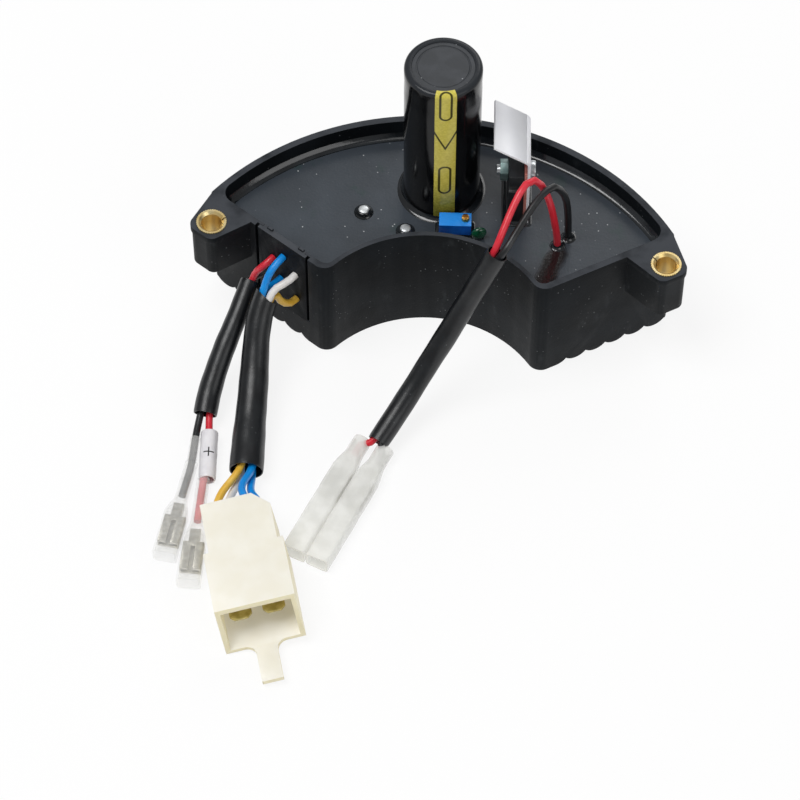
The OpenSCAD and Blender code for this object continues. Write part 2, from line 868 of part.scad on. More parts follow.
module boot_form(neck, box_l, inset) {
    box_y = -neck - boot_cone_l;
    w = boot_w / 2 - inset;
    h = boot_h / 2 - inset;
    translate([-w, box_y - box_l, -h]) cube([2 * w, box_l, 2 * h]);
    hull() {
        translate([-w, box_y - 0.5, -h]) cube([2 * w, 0.5, 2 * h]);
        translate([0, -neck, 0]) rotate([90, 0, 0]) cylinder(h = 0.5, r = 1.9 - inset, $fn = 24);
    }
    rotate([90, 0, 0]) cylinder(h = neck + 0.4, r = 1.9 - inset);
}

// A clear boot: hollow, open at both ends
module boot(neck, box_l) {
    difference() {
        boot_form(neck, box_l, 0);
        boot_form(neck, box_l, boot_skin);
        translate([0, 1, 0]) rotate([90, 0, 0]) cylinder(h = 3, r = 1.9 - boot_skin);
        translate([-boot_w / 2 + boot_skin, -neck - boot_cone_l - box_l - 1, -boot_h / 2 + boot_skin])
            cube([boot_w - 2 * boot_skin, 3, boot_h - 2 * boot_skin]);
    }
}

module boot_black() {
    color("#e9e9e6") at_boot(black_boot_at, black_boot_turn) boot(black_neck, boot_box_l);
}

module boot_red() {
    color("#e9e9e6") at_boot(red_boot_at, red_boot_turn) boot(red_neck, boot_box_l);
}

module boot_output_red() {
    color("#e9e9e6") at_boot(out_red_boot_at, out_turn) boot(out_neck, out_box_l);
}

module boot_output_black() {
    color("#e9e9e6") at_boot(out_black_boot_at, out_turn) boot(out_neck, out_box_l);
}

module terminal_black() {
    color("#c8c0a0") at_boot(black_boot_at, black_boot_turn) terminal(black_neck);
}

module terminal_red() {
    color("#c8c0a0") at_boot(red_boot_at, red_boot_turn) terminal(red_neck);
}

module terminal_output_red() {
    color("#c8c0a0") at_boot(out_red_boot_at, out_turn) terminal(out_neck);
}

module terminal_output_black() {
    color("#c8c0a0") at_boot(out_black_boot_at, out_turn) terminal(out_neck);
}

// Plug: rear block, wider shroud with a sloping mouth, and a latch tongue
module plug_shape() {
    difference() {
        union() {
            translate([-plug_rear_w / 2, -plug_rear_l, 0]) cube([plug_rear_w, plug_rear_l, plug_h]);
            rotate([90, 0, 90])
                translate([0, 0, -plug_w / 2])
                    linear_extrude(plug_w)
                        polygon([[-plug_rear_l + 1, 0], [-plug_floor_l, 0], [-plug_floor_l, 1.5],
                            [-plug_roof_l, plug_h], [-plug_rear_l + 1, plug_h]]);
            tongue();
        }
        translate([-plug_w / 2 + plug_wall, -plug_floor_l - 1, plug_wall])
            cube([plug_w - 2 * plug_wall, plug_floor_l - 18, plug_h - 2 * plug_wall]);
        translate([plug_rear_w / 2, 0, -1])
            rotate([0, 0, 45])
                cube([6.6, 6.6, 2 * plug_h + 4], center = true);
    }
}

module tongue() {
    translate([0, -plug_floor_l, 0])
        linear_extrude(1.6)
            difference() {
                translate([-6, -12]) square([12, 13]);
                for (s = [-1, 1]) {
                    translate([s * 6, -3]) circle(3);
                    translate([s * 6 - 3, -13]) square([6, 10]);
                }
            }
}

module blade_slot(x) {
    translate([x - blade_w / 2, -blade_tip - 4, blade_z - blade_t / 2]) cube([blade_w, blade_tip, blade_t]);
    translate([x - 3.4, -6, blade_z - 3.8]) cube([6.8, 7, 7.6]);
}

module at_plug() {
    translate(plug_at)
        rotate([0, 0, plug_turn])
            translate([-plug_w / 2, 0, 0])
                rotate([0, -plug_roll, 0])
                    translate([plug_w / 2, 0, 0])
                        children();
}

module plug_housing() {
    color("#efeade")
        at_plug()
            difference() {
                plug_shape();
                blade_slot(-blade_pitch / 2);
                blade_slot(blade_pitch / 2);
            }
}

// A blade contact with its crimp barrel at the rear
module plug_blade(x) {
    color("#c8b458")
        at_plug()
            translate([x, 0, blade_z]) {
                difference() {
                    translate([0, 0, -blade_t / 2])
                        linear_extrude(blade_t)
                            polygon([[-blade_w / 2, -6], [-blade_w / 2, -blade_tip + 1.2],
                                [-blade_w / 2 + 1.2, -blade_tip], [blade_w / 2 - 1.2, -blade_tip],
                                [blade_w / 2, -blade_tip + 1.2], [blade_w / 2, -6]]);
                    translate([0, -blade_tip + 4.4, -2]) cylinder(h = 4, r = 0.9);
                }
                translate([-2.6, -6, -1.4]) cube([5.2, 3.5, 2.8]);
            }
}

module plug_blade_left() {
    plug_blade(-blade_pitch / 2);
}

module plug_blade_right() {
    plug_blade(blade_pitch / 2);
}

housing();
wire_exit_plate();
bush_left();
bush_right();
potting_compound();
circuit_board();
capacitor_can();
capacitor_sleeve();
capacitor_top_disc();
capacitor_pins();
transistor_body();
transistor_leads();
insulating_pad();
heat_sink_plate();
clamp_screw();
clamp_nut();
trimmer_body();
trimmer_screw();
trimmer_pins();
ceramic_capacitor();
dome_posts();
bridge_rectifier();
power_diodes();
control_chip();
power_resistors();
film_capacitor();
wire_output_red();
wire_output_black();
wire_red();
wire_black();
wire_blue();
wire_blue_2();
wire_white();
wire_yellow();
sleeve_output();
sleeve_thin();
sleeve_thick();
marker_sleeve();
neck_sleeve();
boot_black();
boot_red();
boot_output_red();
boot_output_black();
terminal_black();
terminal_red();
terminal_output_red();
terminal_output_black();
plug_housing();
plug_blade_left();
plug_blade_right();
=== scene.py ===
"""Looks of a half-moon generator voltage regulator and its wiring harness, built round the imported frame."""

import logging
import math
from dataclasses import dataclass, field
from enum import Enum
from functools import cache, cached_property
from typing import Callable, Optional, Sequence, Union

import bmesh
import bpy
from mathutils import Matrix, Vector


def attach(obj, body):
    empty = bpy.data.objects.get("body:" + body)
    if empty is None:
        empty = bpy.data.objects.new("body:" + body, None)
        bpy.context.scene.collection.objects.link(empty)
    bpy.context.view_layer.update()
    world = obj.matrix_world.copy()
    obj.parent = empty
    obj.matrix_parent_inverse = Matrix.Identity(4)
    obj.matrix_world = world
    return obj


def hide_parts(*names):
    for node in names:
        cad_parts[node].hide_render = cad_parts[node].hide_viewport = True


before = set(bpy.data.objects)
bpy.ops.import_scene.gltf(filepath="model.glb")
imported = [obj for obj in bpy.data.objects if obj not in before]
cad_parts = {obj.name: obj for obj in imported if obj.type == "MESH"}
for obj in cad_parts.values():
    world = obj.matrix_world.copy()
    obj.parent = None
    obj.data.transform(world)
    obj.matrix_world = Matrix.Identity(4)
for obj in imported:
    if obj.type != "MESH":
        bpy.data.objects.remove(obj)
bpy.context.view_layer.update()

MM = 0.001
MODULE = "module"
ADJUSTER = "adjuster"
# Slope of the end walls, in degrees, and Y of the arcs' centre, in millimetres
END_ANG = 33.0
ARC_Y = -50.56
# Distance at which two points are one, in metres, and the angles of a flat seam and of an edge, in degrees
SAME_POINT = 2e-6
FLAT_ANGLE = 1.0
EDGE_ANGLE = 30.0
# Points of a wire's curve, rings of a sleeve, parts of a curved form, and sides of a boot and of a fillet
WIRE_POINTS = 40
SLEEVE_RINGS = 61
CURVE_PARTS = 8
BOOT_SIDES = 48
FOOT_SIDES = 64
log = logging.getLogger("regulator")

Colour = tuple[float, float, float, float]
Flat = tuple[float, float]
Place = tuple[float, float, float]
Outline = Callable[[float], list[Flat]]
Ring = list[Vector]


def tint(code: str) -> Colour:
    """Turns a written colour into the linear one that a shader takes.

    Args:
        code: the colour as #rrggbb.

    Returns:
        Its linear parts, and 1 as alpha.
    """
    parts = [int(code[k : k + 2], 16) / 255 for k in (1, 3, 5)]
    low = [c / 12.92 if c <= 0.04045 else ((c + 0.055) / 1.055) ** 2.4 for c in parts]
    return (*low, 1.0)


# Shader expressions


class Term:
    """A shader socket that takes part in Python expressions; each operator adds a Math node."""

    def __init__(self, book: "Book", socket: bpy.types.NodeSocket) -> None:
        """Keeps the material under construction and the socket."""
        self.book = book
        self.socket = socket

    def __add__(self, other: "Value") -> "Term":
        """Sum."""
        return self.book.math("ADD", self, other)

    __radd__ = __add__

    def __sub__(self, other: "Value") -> "Term":
        """Difference."""
        return self.book.math("SUBTRACT", self, other)

    def __rsub__(self, other: "Value") -> "Term":
        """Difference from the other side."""
        return self.book.math("SUBTRACT", other, self)

    def __mul__(self, other: "Value") -> "Term":
        """Product."""
        return self.book.math("MULTIPLY", self, other)

    __rmul__ = __mul__

    def __pow__(self, other: "Value") -> "Term":
        """Power."""
        return self.book.math("POWER", self, other)

    def __abs__(self) -> "Term":
        """Size without sign."""
        return self.book.math("ABSOLUTE", self)

    def at_least(self, other: "Value") -> "Term":
        """The larger of the two."""
        return self.book.math("MAXIMUM", self, other)

    def at_most(self, other: "Value") -> "Term":
        """The smaller of the two."""
        return self.book.math("MINIMUM", self, other)


Value = Union[float, Term]


class Book:
    """The nodes of a material or a world under construction."""

    def __init__(self, owner: Union[bpy.types.Material, bpy.types.World]) -> None:
        """Starts with no nodes.

        Args:
            owner: the material or world.
        """
        self.owner = owner
        owner.use_nodes = True
        self.tree = owner.node_tree
        self.tree.nodes.clear()

    def split(self, vector: Term) -> tuple[Term, Term, Term]:
        """The three parts of a vector."""
        made = self.node("ShaderNodeSeparateXYZ", sockets={"Vector": vector})
        return tuple(Term(self, made.outputs[k]) for k in range(3))

    @cached_property
    def place(self) -> Term:
        """Place on the piece, in metres."""
        return Term(self, self.node("ShaderNodeTexCoord").outputs["Object"])

    @cached_property
    def xyz(self) -> tuple[Term, Term, Term]:
        """The three parts of the place."""
        return self.split(self.place)

    @cached_property
    def up(self) -> Term:
        """How far a surface faces upward, from -1 to 1."""
        return self.split(Term(self, self.node("ShaderNodeNewGeometry").outputs["Normal"]))[2]

    def node(
        self, kind: str, settings: Optional[dict] = None, sockets: Optional[dict] = None
    ) -> bpy.types.Node:
        """Adds any node.

        Args:
            kind: the node's type.
            settings: properties that are set first.
            sockets: values or terms, by socket name or number.

        Returns:
            The new node.
        """
        made = self.tree.nodes.new(kind)
        for key, value in (settings or {}).items():
            setattr(made, key, value)
        for key, value in (sockets or {}).items():
            if isinstance(value, Term):
                self.tree.links.new(value.socket, made.inputs[key])
            else:
                made.inputs[key].default_value = value
        return made

    def math(self, operation: str, *values: Value) -> Term:
        """One Math node on the given values."""
        made = self.node("ShaderNodeMath", {"operation": operation}, dict(enumerate(values)))
        return Term(self, made.outputs[0])

    def noise(self, size: float, detail: float = 3.0, place: Optional[Term] = None) -> Term:
        """Smooth noise from 0 to 1.

        Args:
            size: rough size of its features, in metres.
            detail: octaves.
            place: coordinates, the piece's own by default.

        Returns:
            The noise as a term.
        """
        made = self.node(
            "ShaderNodeTexNoise",
            sockets={"Vector": place or self.place, "Scale": 1 / size, "Detail": detail},
        )
        return Term(self, made.outputs[0])

    def spots(self, size: float) -> Term:
        """Distance from the nearest of the scattered points, in units of their spacing."""
        made = self.node(
            "ShaderNodeTexVoronoi", sockets={"Vector": self.place, "Scale": 1 / size}
        )
        return Term(self, made.outputs["Distance"])

    def stretched(self, x: float, y: float, z: float) -> Term:
        """The place coordinates, scaled along each axis."""
        made = self.node(
            "ShaderNodeVectorMath", {"operation": "MULTIPLY"}, {0: self.place, 1: (x, y, z)}
        )
        return Term(self, made.outputs[0])

    def ease(self, value: Value, low: float, high: float) -> Term:
        """Smooth step.

        Args:
            value: what the step is taken of.
            low: where it is 0.
            high: where it is 1; it may be the smaller of the two.

        Returns:
            The step, from 0 to 1.
        """
        turned = low > high
        made = self.node(
            "ShaderNodeMapRange",
            {"interpolation_type": "SMOOTHSTEP"},
            {0: value, 1: min(low, high), 2: max(low, high), 3: float(turned), 4: float(not turned)},
        )
        return Term(self, made.outputs[0])

    def blend(self, mask: Value, low: Union[Term, Colour], high: Union[Term, Colour]) -> Term:
        """Colour that goes from low to high as the mask goes from 0 to 1."""
        made = self.node(
            "ShaderNodeMix", {"data_type": "RGBA"}, {0: mask, 6: low, 7: high}
        )
        return Term(self, made.outputs[2])

    def spread(self, mask: Term, low: float, high: float) -> Term:
        """Number that goes from low to high as the mask goes from 0 to 1."""
        return mask * (high - low) + low

    @staticmethod
    def hypot(across: Term, along: Term) -> Term:
        """Length of what has two parts at right angles."""
        return (across * across + along * along) ** 0.5

    def finish(self, **sockets: Union[Value, Colour]) -> bpy.types.Material:
        """Closes the material with a Principled shader.

        Args:
            sockets: values by socket name, with _ for a space.

        Returns:
            The material.
        """
        named = {key.replace("_", " "): value for key, value in sockets.items()}
        shader = self.node("ShaderNodeBsdfPrincipled", sockets=named)
        self.node("ShaderNodeOutputMaterial", sockets={"Surface": Term(self, shader.outputs[0])})
        return self.owner


@dataclass(frozen=True)
class Scatter:
    """Fine spots that lie in drifts.

    Attributes:
        tone: colour of the spots.
        spacing: distance between spots, in metres.
        dot: radius of a spot and of its full core, in units of the spacing.
        drift: size of the drifts, in metres.
        cover: noise at which a drift starts, and at which it is full.
        detail: octaves of the drifts.
    """

    tone: str
    spacing: float
    dot: Flat
    drift: float
    cover: Flat
    detail: float = 3.0

    def over(self, book: Book, tone: Term, share: float) -> Term:
        """Puts the spots on a colour.

        Args:
            book: the material under construction.
            tone: the colour under them.
            share: how much of them shows.

        Returns:
            The colour with the spots.
        """
        dots = book.ease(book.spots(self.spacing), *self.dot)
        drifts = book.ease(book.noise(self.drift, self.detail), *self.cover)
        return book.blend(dots * drifts * share, tone, tint(self.tone))


# Noise at which a patch of the second tone starts, and at which it is full
PATCHES = (0.35, 0.7)
DUST = Scatter("#c9cdd0", 0.0016, (0.16, 0.06), 0.006, (0.5, 0.66), 2.0)
CRUMBS = Scatter("#d9dcde", 0.0023, (0.11, 0.05), 0.012, (0.46, 0.6))


@dataclass(frozen=True)
class Finish:
    """A surface of two tones, with a roughness range and a fine relief.

    Attributes:
        name: material name.
        tone: main colour.
        second: colour of the faint patches.
        patch: size of the patches, in metres.
        rough: lowest and highest roughness.
        grain: size of the relief, in metres.
        relief: height of the relief, in metres.
        metallic: 1 for bare metal.
        coat: clear gloss on top.
        alpha: how solid the piece looks.
        dust: share of pale dust in the tone.
        soft: how far light enters, from 0 to 1.
        shine: strength of the reflection at right angles.
        glow: painted light: strength at which the piece glows in its own tone, from 0 to 1, though it is no
            lamp.
    """

    name: str
    tone: str
    second: str
    patch: float = 0.012
    rough: Flat = (0.4, 0.5)
    grain: float = 0.0006
    relief: float = 0.00002
    metallic: float = 0.0
    coat: float = 0.0
    alpha: float = 1.0
    dust: float = 0.0
    soft: float = 0.0
    shine: float = 0.5
    glow: float = 0.0

    def colour(self, book: Book) -> Term:
        """Tone patches, with a little dust where the finish has it.

        Args:
            book: the material under construction.

        Returns:
            The colour over the surface.
        """
        mask = book.ease(book.noise(self.patch), *PATCHES)
        tone = book.blend(mask, tint(self.tone), tint(self.second))
        return DUST.over(book, tone, self.dust) if self.dust else tone

    def height(self, book: Book) -> Term:
        """Relief, from 0 to 1."""
        return book.noise(self.grain, 4)

    def gloss(self, book: Book) -> Term:
        """Roughness over the surface."""
        return book.spread(book.noise(self.patch / 3, 3), *self.rough)

    @cache
    def material(self) -> bpy.types.Material:
        """Makes the material, once.

        Returns:
            The finished material.
        """
        book = Book(bpy.data.materials.new(f"{self.name}_finish"))
        bump = book.node(
            "ShaderNodeBump",
            sockets={"Height": self.height(book), "Distance": self.relief, "Strength": 0.8},
        )
        tone = self.colour(book)
        return book.finish(
            Base_Color=tone,
            # Emission in the tone's colour is painted light: it brightens the pieces that have a glow.
            Emission_Color=tone,
            Emission_Strength=self.glow,
            Roughness=self.gloss(book),
            Metallic=self.metallic,
            Coat_Weight=self.coat,
            Coat_Roughness=0.12,
            Alpha=self.alpha,
            Subsurface_Weight=self.soft,
            Subsurface_Scale=0.003,
            Subsurface_Radius=(1.0, 1.0, 1.0),
            Specular_IOR_Level=self.shine,
            Normal=Term(book, bump.outputs[0]),
        )


@dataclass(frozen=True)
class MouldedBlack(Finish):
    """Black moulding: pebbled skin, paler where it has been handled, and paler in patches on its upward faces
    as painted top light.

    Attributes:
        top_light_tone: colour of the painted top light on its upper faces.
        facing: how far a face looks up where the painted top light starts, and where it is full.
        top_light_patches: noise at which a patch of painted top light starts, and at which it is full.
        top_light_patch_size: size of its patches, in metres.
        rub_tone: colour of the rubbed streaks.
        rub_share: how much of them shows.
        rubbed: noise at which a streak starts, and at which it is full.
        rubbed_size: size of the streaks, in metres.
        rubbed_run: their stretch along x, y and z.
    """

    top_light_tone: str = "#43464b"
    facing: Flat = (0.55, 0.95)
    top_light_patches: Flat = (0.1, 0.6)
    top_light_patch_size: float = 0.008
    rub_tone: str = "#4a4e51"
    rub_share: float = 0.35
    rubbed: Flat = (0.6, 0.8)
    rubbed_size: float = 0.004
    rubbed_run: Place = (1.0, 1.0, 0.35)

    def colour(self, book: Book) -> Term:
        """The tone, with painted top light in patches and rubbed streaks on it.

        Args:
            book: the material under construction.

        Returns:
            The colour over the surface.
        """
        tone = super().colour(book)
        # Painted top light: upward faces turn paler in noisy patches.
        upper = book.ease(book.up, *self.facing)
        top_light_patches = upper * book.ease(book.noise(self.top_light_patch_size, 4), *self.top_light_patches)
        tone = book.blend(top_light_patches, tone, tint(self.top_light_tone))
        streaks = book.noise(self.rubbed_size, 5, book.stretched(*self.rubbed_run))
        rubbed = book.ease(streaks, *self.rubbed)
        return book.blend(rubbed * self.rub_share, tone, tint(self.rub_tone))


@dataclass(frozen=True)
class PouredResin(Finish):
    """Potting resin: charcoal, with white specks, green glints and a brown wet patch by the output wires.

    Attributes:
        patch_from: start of the wet patch, in metres.
        patch_to: its end at the front wall, in metres.
        patch_reach: half its width and half the width of its full core, in metres.
        ragged: size and depth of the notches in its edge, in metres.
        wet_look: its colour, and how much of it shows.
        wet_gloss: how much smoother it is.
        glint_look: colour of the green glints, and how much of them shows.
        glints: noise at which a glint starts, and at which it is full.
        glint_size: size of the glints, in metres.
        crumb_share: how much of the white specks shows.
        swell: size of the slow waves, in metres, and their share of the relief.
        crumb: size of the fine crumbs, in metres, and their share of the relief.
    """

    patch_from: Flat = (0.0338, -0.0115)
    patch_to: Flat = (0.0308, -0.0235)
    patch_reach: Flat = (0.0038, 0.00171)
    ragged: Flat = (0.005, 0.003)
    wet_look: tuple[str, float] = ("#1c1310", 0.9)
    wet_gloss: float = 0.22
    glint_look: tuple[str, float] = ("#1f3b35", 0.35)
    glints: Flat = (0.62, 0.74)
    glint_size: float = 0.009
    crumb_share: float = 0.75
    swell: Flat = (0.009, 0.7)
    crumb: Flat = (0.0008, 0.3)

    def wet(self, book: Book) -> Term:
        """Finds the wet patch, a strip round a line with a ragged edge.

        Args:
            book: the material under construction.

        Returns:
            Its mask.
        """
        start, end = Vector(self.patch_from), Vector(self.patch_to)
        run = end - start
        square = run.length_squared
        along = (book.xyz[0] - start.x) * (run.x / square) + (book.xyz[1] - start.y) * (run.y / square)
        held = along.at_least(0.0).at_most(1.0)
        away_x = book.xyz[0] - (held * run.x + start.x)
        away_y = book.xyz[1] - (held * run.y + start.y)
        size, depth = self.ragged
        distance = book.hypot(away_x, away_y) + (book.noise(size) - 0.5) * depth
        return book.ease(distance, *self.patch_reach)

    def colour(self, book: Book) -> Term:
        """Charcoal with glints, the patch and specks.

        Args:
            book: the material under construction.

        Returns:
            The colour over the surface.
        """
        tone = super().colour(book)
        glints = book.ease(book.noise(self.glint_size, 4), *self.glints)
        for mask, (code, share) in ((glints, self.glint_look), (self.wet(book), self.wet_look)):
            tone = book.blend(mask * share, tone, tint(code))
        return CRUMBS.over(book, tone, self.crumb_share)

    def gloss(self, book: Book) -> Term:
        """Satin, and shiny in the wet patch."""
        return super().gloss(book) - self.wet(book) * self.wet_gloss

    def height(self, book: Book) -> Term:
        """Slow waves under fine crumbs."""
        (swell, most), (crumb, rest) = self.swell, self.crumb
        return book.noise(swell, 2) * most + book.noise(crumb, 3) * rest


@dataclass(frozen=True)
class StripedFilm(Finish):
    """Glossy black shrink film with one gold stripe that carries rings and a chevron.

    Attributes:
        centre: axis of the can, in metres.
        radius: outer radius of the film, in metres.
        lean: angle of the stripe's middle, to the right of the front, in degrees.
        half_width: half the stripe's width along the film, in metres.
        blur: softness of its sides, in metres.
        gold: colours of its upper part, worn and fresh.
        olive: darker colours that the stripe takes towards its foot, worn and fresh.
        wear: noise at which the fresh colour starts, and at which it is full.
        wear_size: size of the worn spots, in metres.
        turning: heights between which the foot turns gold, in metres.
        shelf: heights between which the film starts to turn paler and is fully paler at the top, in metres.
        shelf_look: that paler colour, and how much of it shows.
        line: half the width of a drawn line, in metres.
        fade: where a ring's line ends, and where it is full, in units of its half width.
        ink_look: colour of the lines, and how much of them shows.
        rings: for each ring, the height of its middle, half its straight run and its radius, in metres.
        chevron: height of the chevron's point, and its rise over the half width, in metres.
        chevron_line: half the full width of its line, in units of the rings' line.
        chevron_fade: where it ends, in units of that.
    """

    centre: Flat = (-0.0016, 0.0076)
    radius: float = 0.011
    lean: float = 10.0
    half_width: float = 0.0031
    blur: float = 0.00006
    gold: tuple[str, str] = ("#cdbf55", "#ddd063")
    olive: tuple[str, str] = ("#85832f", "#b0a845")
    wear: Flat = (0.3, 0.75)
    wear_size: float = 0.0007
    turning: Flat = (0.036, 0.052)
    shelf: Flat = (0.0875, 0.0884)
    shelf_look: tuple[str, float] = ("#34373b", 0.8)
    line: float = 0.00032
    fade: Flat = (1.3, 0.8)
    ink_look: tuple[str, float] = ("#16170f", 0.92)
    rings: tuple[Place, ...] = ((0.0844, 0.0043, 0.0016), (0.0516, 0.0043, 0.0016))
    chevron: Flat = (0.0658, 0.0069)
    chevron_line: float = 0.7
    chevron_fade: float = 1.8

    def ink(self, book: Book, side: Term, from_axis: Term) -> Term:
        """Finds the drawn lines: the rings, which run on over the shoulder, and the chevron.

        Args:
            book: the material under construction.
            side: distance from the stripe's middle along the film.
            from_axis: distance from the can's axis.

        Returns:
            Their mask.
        """
        height = book.xyz[2] + (from_axis * -1.0 + self.radius)
        drawn: Value = 0.0
        for middle, run, radius in self.rings:
            beyond = (abs(height - middle) - run).at_least(0.0)
            edge = abs(book.hypot(side, beyond) - radius)
            drawn = book.ease(edge, self.line * self.fade[0], self.line * self.fade[1]) + drawn
        point, rise = self.chevron
        slope = rise / self.half_width
        arm = abs(book.xyz[2] - (abs(side) * slope + point))
        reach = self.line * slope * self.chevron_line
        return (book.ease(arm, reach * self.chevron_fade, reach) + drawn).at_most(1.0)

    def colour(self, book: Book) -> Term:
        """Black film, gold stripe and its black marks.

        Args:
            book: the material under construction.

        Returns:
            The colour over the surface.
        """
        code, share = self.shelf_look
        tone = book.blend(book.ease(book.xyz[2], *self.shelf) * share, super().colour(book), tint(code))
        away_x, away_y = book.xyz[0] - self.centre[0], book.xyz[1] - self.centre[1]
        side = (book.math("ARCTAN2", away_x, away_y * -1.0) - math.radians(self.lean)) * self.radius
        stripe = book.ease(abs(side), self.half_width + self.blur, self.half_width - self.blur)
        worn = book.ease(book.noise(self.wear_size, 4), *self.wear)
        olive, gold = (book.blend(worn, *map(tint, pair)) for pair in (self.olive, self.gold))
        metal = book.blend(book.ease(book.xyz[2], *self.turning), olive, gold)
        code, share = self.ink_look
        drawn = self.ink(book, side, book.hypot(away_x, away_y))
        return book.blend(stripe, tone, book.blend(drawn * share, metal, tint(code)))


@dataclass(frozen=True)
class MarkedTube(Finish):
    """White tube with a plus sign printed on its upper side.

    Attributes:
        middle: middle of the sign, in metres.
        turn: angle of the tube from -Y, in degrees.
        arm: half the sign's size, in metres.
        stroke: half a stroke's width, in metres.
        blur: softness of a stroke's sides and of its ends, as shares of its size.
        rim: height over which the sign fades down the tube, in metres.
        ink: colour of the sign.
    """

    middle: Place = (-0.0592, -0.0722, 0.0035)
    turn: float = 5.5
    arm: float = 0.0015
    stroke: float = 0.00019
    blur: Flat = (0.2, 0.05)
    rim: float = 0.0004
    ink: str = "#1c1c1e"

    def bar(self, book: Book, across: Term, along: Term) -> Term:
        """Finds one stroke of the sign.

        Args:
            book: the material under construction.
            across: distance from the stroke's line.
            along: distance from its middle, along the line.

        Returns:
            Its mask.
        """
        sides, ends = self.blur
        wide = book.ease(across, self.stroke * (1 + sides), self.stroke * (1 - sides))
        return wide * book.ease(along, self.arm * (1 + ends), self.arm * (1 - ends))

    def colour(self, book: Book) -> Term:
        """White with the sign.

        Args:
            book: the material under construction.

        Returns:
            The colour over the surface.
        """
        tone = super().colour(book)
        cos, sin = math.cos(math.radians(self.turn)), math.sin(math.radians(self.turn))
        away_x, away_y = book.xyz[0] - self.middle[0], book.xyz[1] - self.middle[1]
        across = abs(away_x * cos + away_y * sin)
        along = abs(away_y * cos - away_x * sin)
        strokes = (self.bar(book, across, along) + self.bar(book, along, across)).at_most(1.0)
        upper = book.ease(book.xyz[2], self.middle[2], self.middle[2] + self.rim)
        return book.blend(strokes * upper, tone, tint(self.ink))


@dataclass(frozen=True)
class TopLitPlastic(Finish):
    """Plastic whose top face is lighter: painted top light.

    Attributes:
        top: colour of the painted top light on the top face.
        level: heights at which it starts and is full, in metres.
    """

    top: str = "#2a93f2"
    level: Flat = (0.0383, 0.03845)

    def colour(self, book: Book) -> Term:
        """The tone, and the painted top light above the level."""
        tone = super().colour(book)
        return book.blend(book.ease(book.xyz[2], *self.level), tone, tint(self.top))


@dataclass(frozen=True)
class ClearIvory(Finish):
    """Plastic that lets light through, with painted shade on its sides and inside.

    Attributes:
        side_shade: colour of the painted shade on the faces that do not face upward.
        facing: how far a face looks up where the tone starts, and where it is full.
    """

    side_shade: str = "#e3dab9"
    facing: Flat = (0.3, 0.9)

    def colour(self, book: Book) -> Term:
        """The tone above, and the painted shade elsewhere."""
        return book.blend(book.ease(book.up, *self.facing), tint(self.side_shade), super().colour(book))


@dataclass(frozen=True)
class DrawnMetal(Finish):
    """Bare metal with fine lines.

    Attributes:
        lines: stretch of the relief along x, y and z.
    """

    lines: Place = (1.0, 1.0, 0.06)

    def height(self, book: Book) -> Term:
        """Fine lines over a soft unevenness."""
        return book.noise(self.grain, 4, book.stretched(*self.lines))

    def gloss(self, book: Book) -> Term:
        """Roughness that follows the lines."""
        return book.spread(book.noise(self.grain * 3, 3, book.stretched(*self.lines)), *self.rough)


# Both mouldings get painted top light on their upward faces, paler on the insert.
HOUSING = MouldedBlack(
    "housing_black", "#0f1215", "#171b1f", 0.02, (0.42, 0.58), 0.0007, 0.00006, dust=0.3, shine=0.08
)
INSERT = MouldedBlack(
    "insert_black", "#0f1215", "#171b1f", 0.01, (0.5, 0.65), 0.0007, 0.0001, shine=0.08, top_light_tone="#4b4e53"
)
RESIN = PouredResin("potting_resin", "#343a41", "#3e454d", 0.02, (0.26, 0.4), 0.002, 0.00012)
# The fillets' resin is painted near black: painted shade and dark reflection where the resin meets walls and
# parts.
SHADED_RESIN = Finish("shaded_resin_fillet", "#14171a", "#202428", 0.006, (0.08, 0.18), 0.002, 0.00005, coat=0.4)
BUSH_BRASS = DrawnMetal("bush_brass", "#ebcf8c", "#f6e3ae", 0.004, (0.28, 0.42), 0.0003, 0.00002, 0.9)
FILM = StripedFilm(
    "capacitor_film", "#08090b", "#0d0e10", 0.01, (0.12, 0.2), 0.003, 0.00004, coat=0.1, shine=0.15
)
DISC = Finish("capacitor_disc", "#33363a", "#3d4045", 0.005, (0.4, 0.55), 0.0005, 0.00003, dust=0.5)
CAN = DrawnMetal("can_aluminium", "#c8cbcf", "#dcdee1", 0.01, (0.25, 0.4), 0.0004, 0.00001, 1.0)
# The plate's glow is painted light that brightens it.
PLATE = DrawnMetal(
    "plate_aluminium", "#e4e5ea", "#edeef1", 0.012, (0.45, 0.58), 0.0005, 0.00001, 0.1, glow=0.1
)
EPOXY = Finish("black_epoxy", "#15171a", "#1e2124", 0.004, (0.4, 0.58), 0.0004, 0.00002)
PAD = Finish("pink_pad", "#b4665c", "#c98479", 0.002, (0.5, 0.7), 0.0003, 0.00002)
SCREW = DrawnMetal("screw_zinc", "#c3c8cb", "#dfe3e5", 0.002, (0.22, 0.4), 0.0003, 0.00002, 1.0)
NUT = DrawnMetal("nut_zinc", "#7f9896", "#9db3b0", 0.002, (0.3, 0.5), 0.0003, 0.00002, 0.8)
TINNED = DrawnMetal("tinned_copper", "#b9bcc0", "#d5d8da", 0.002, (0.2, 0.35), 0.0003, 0.00001, 1.0)
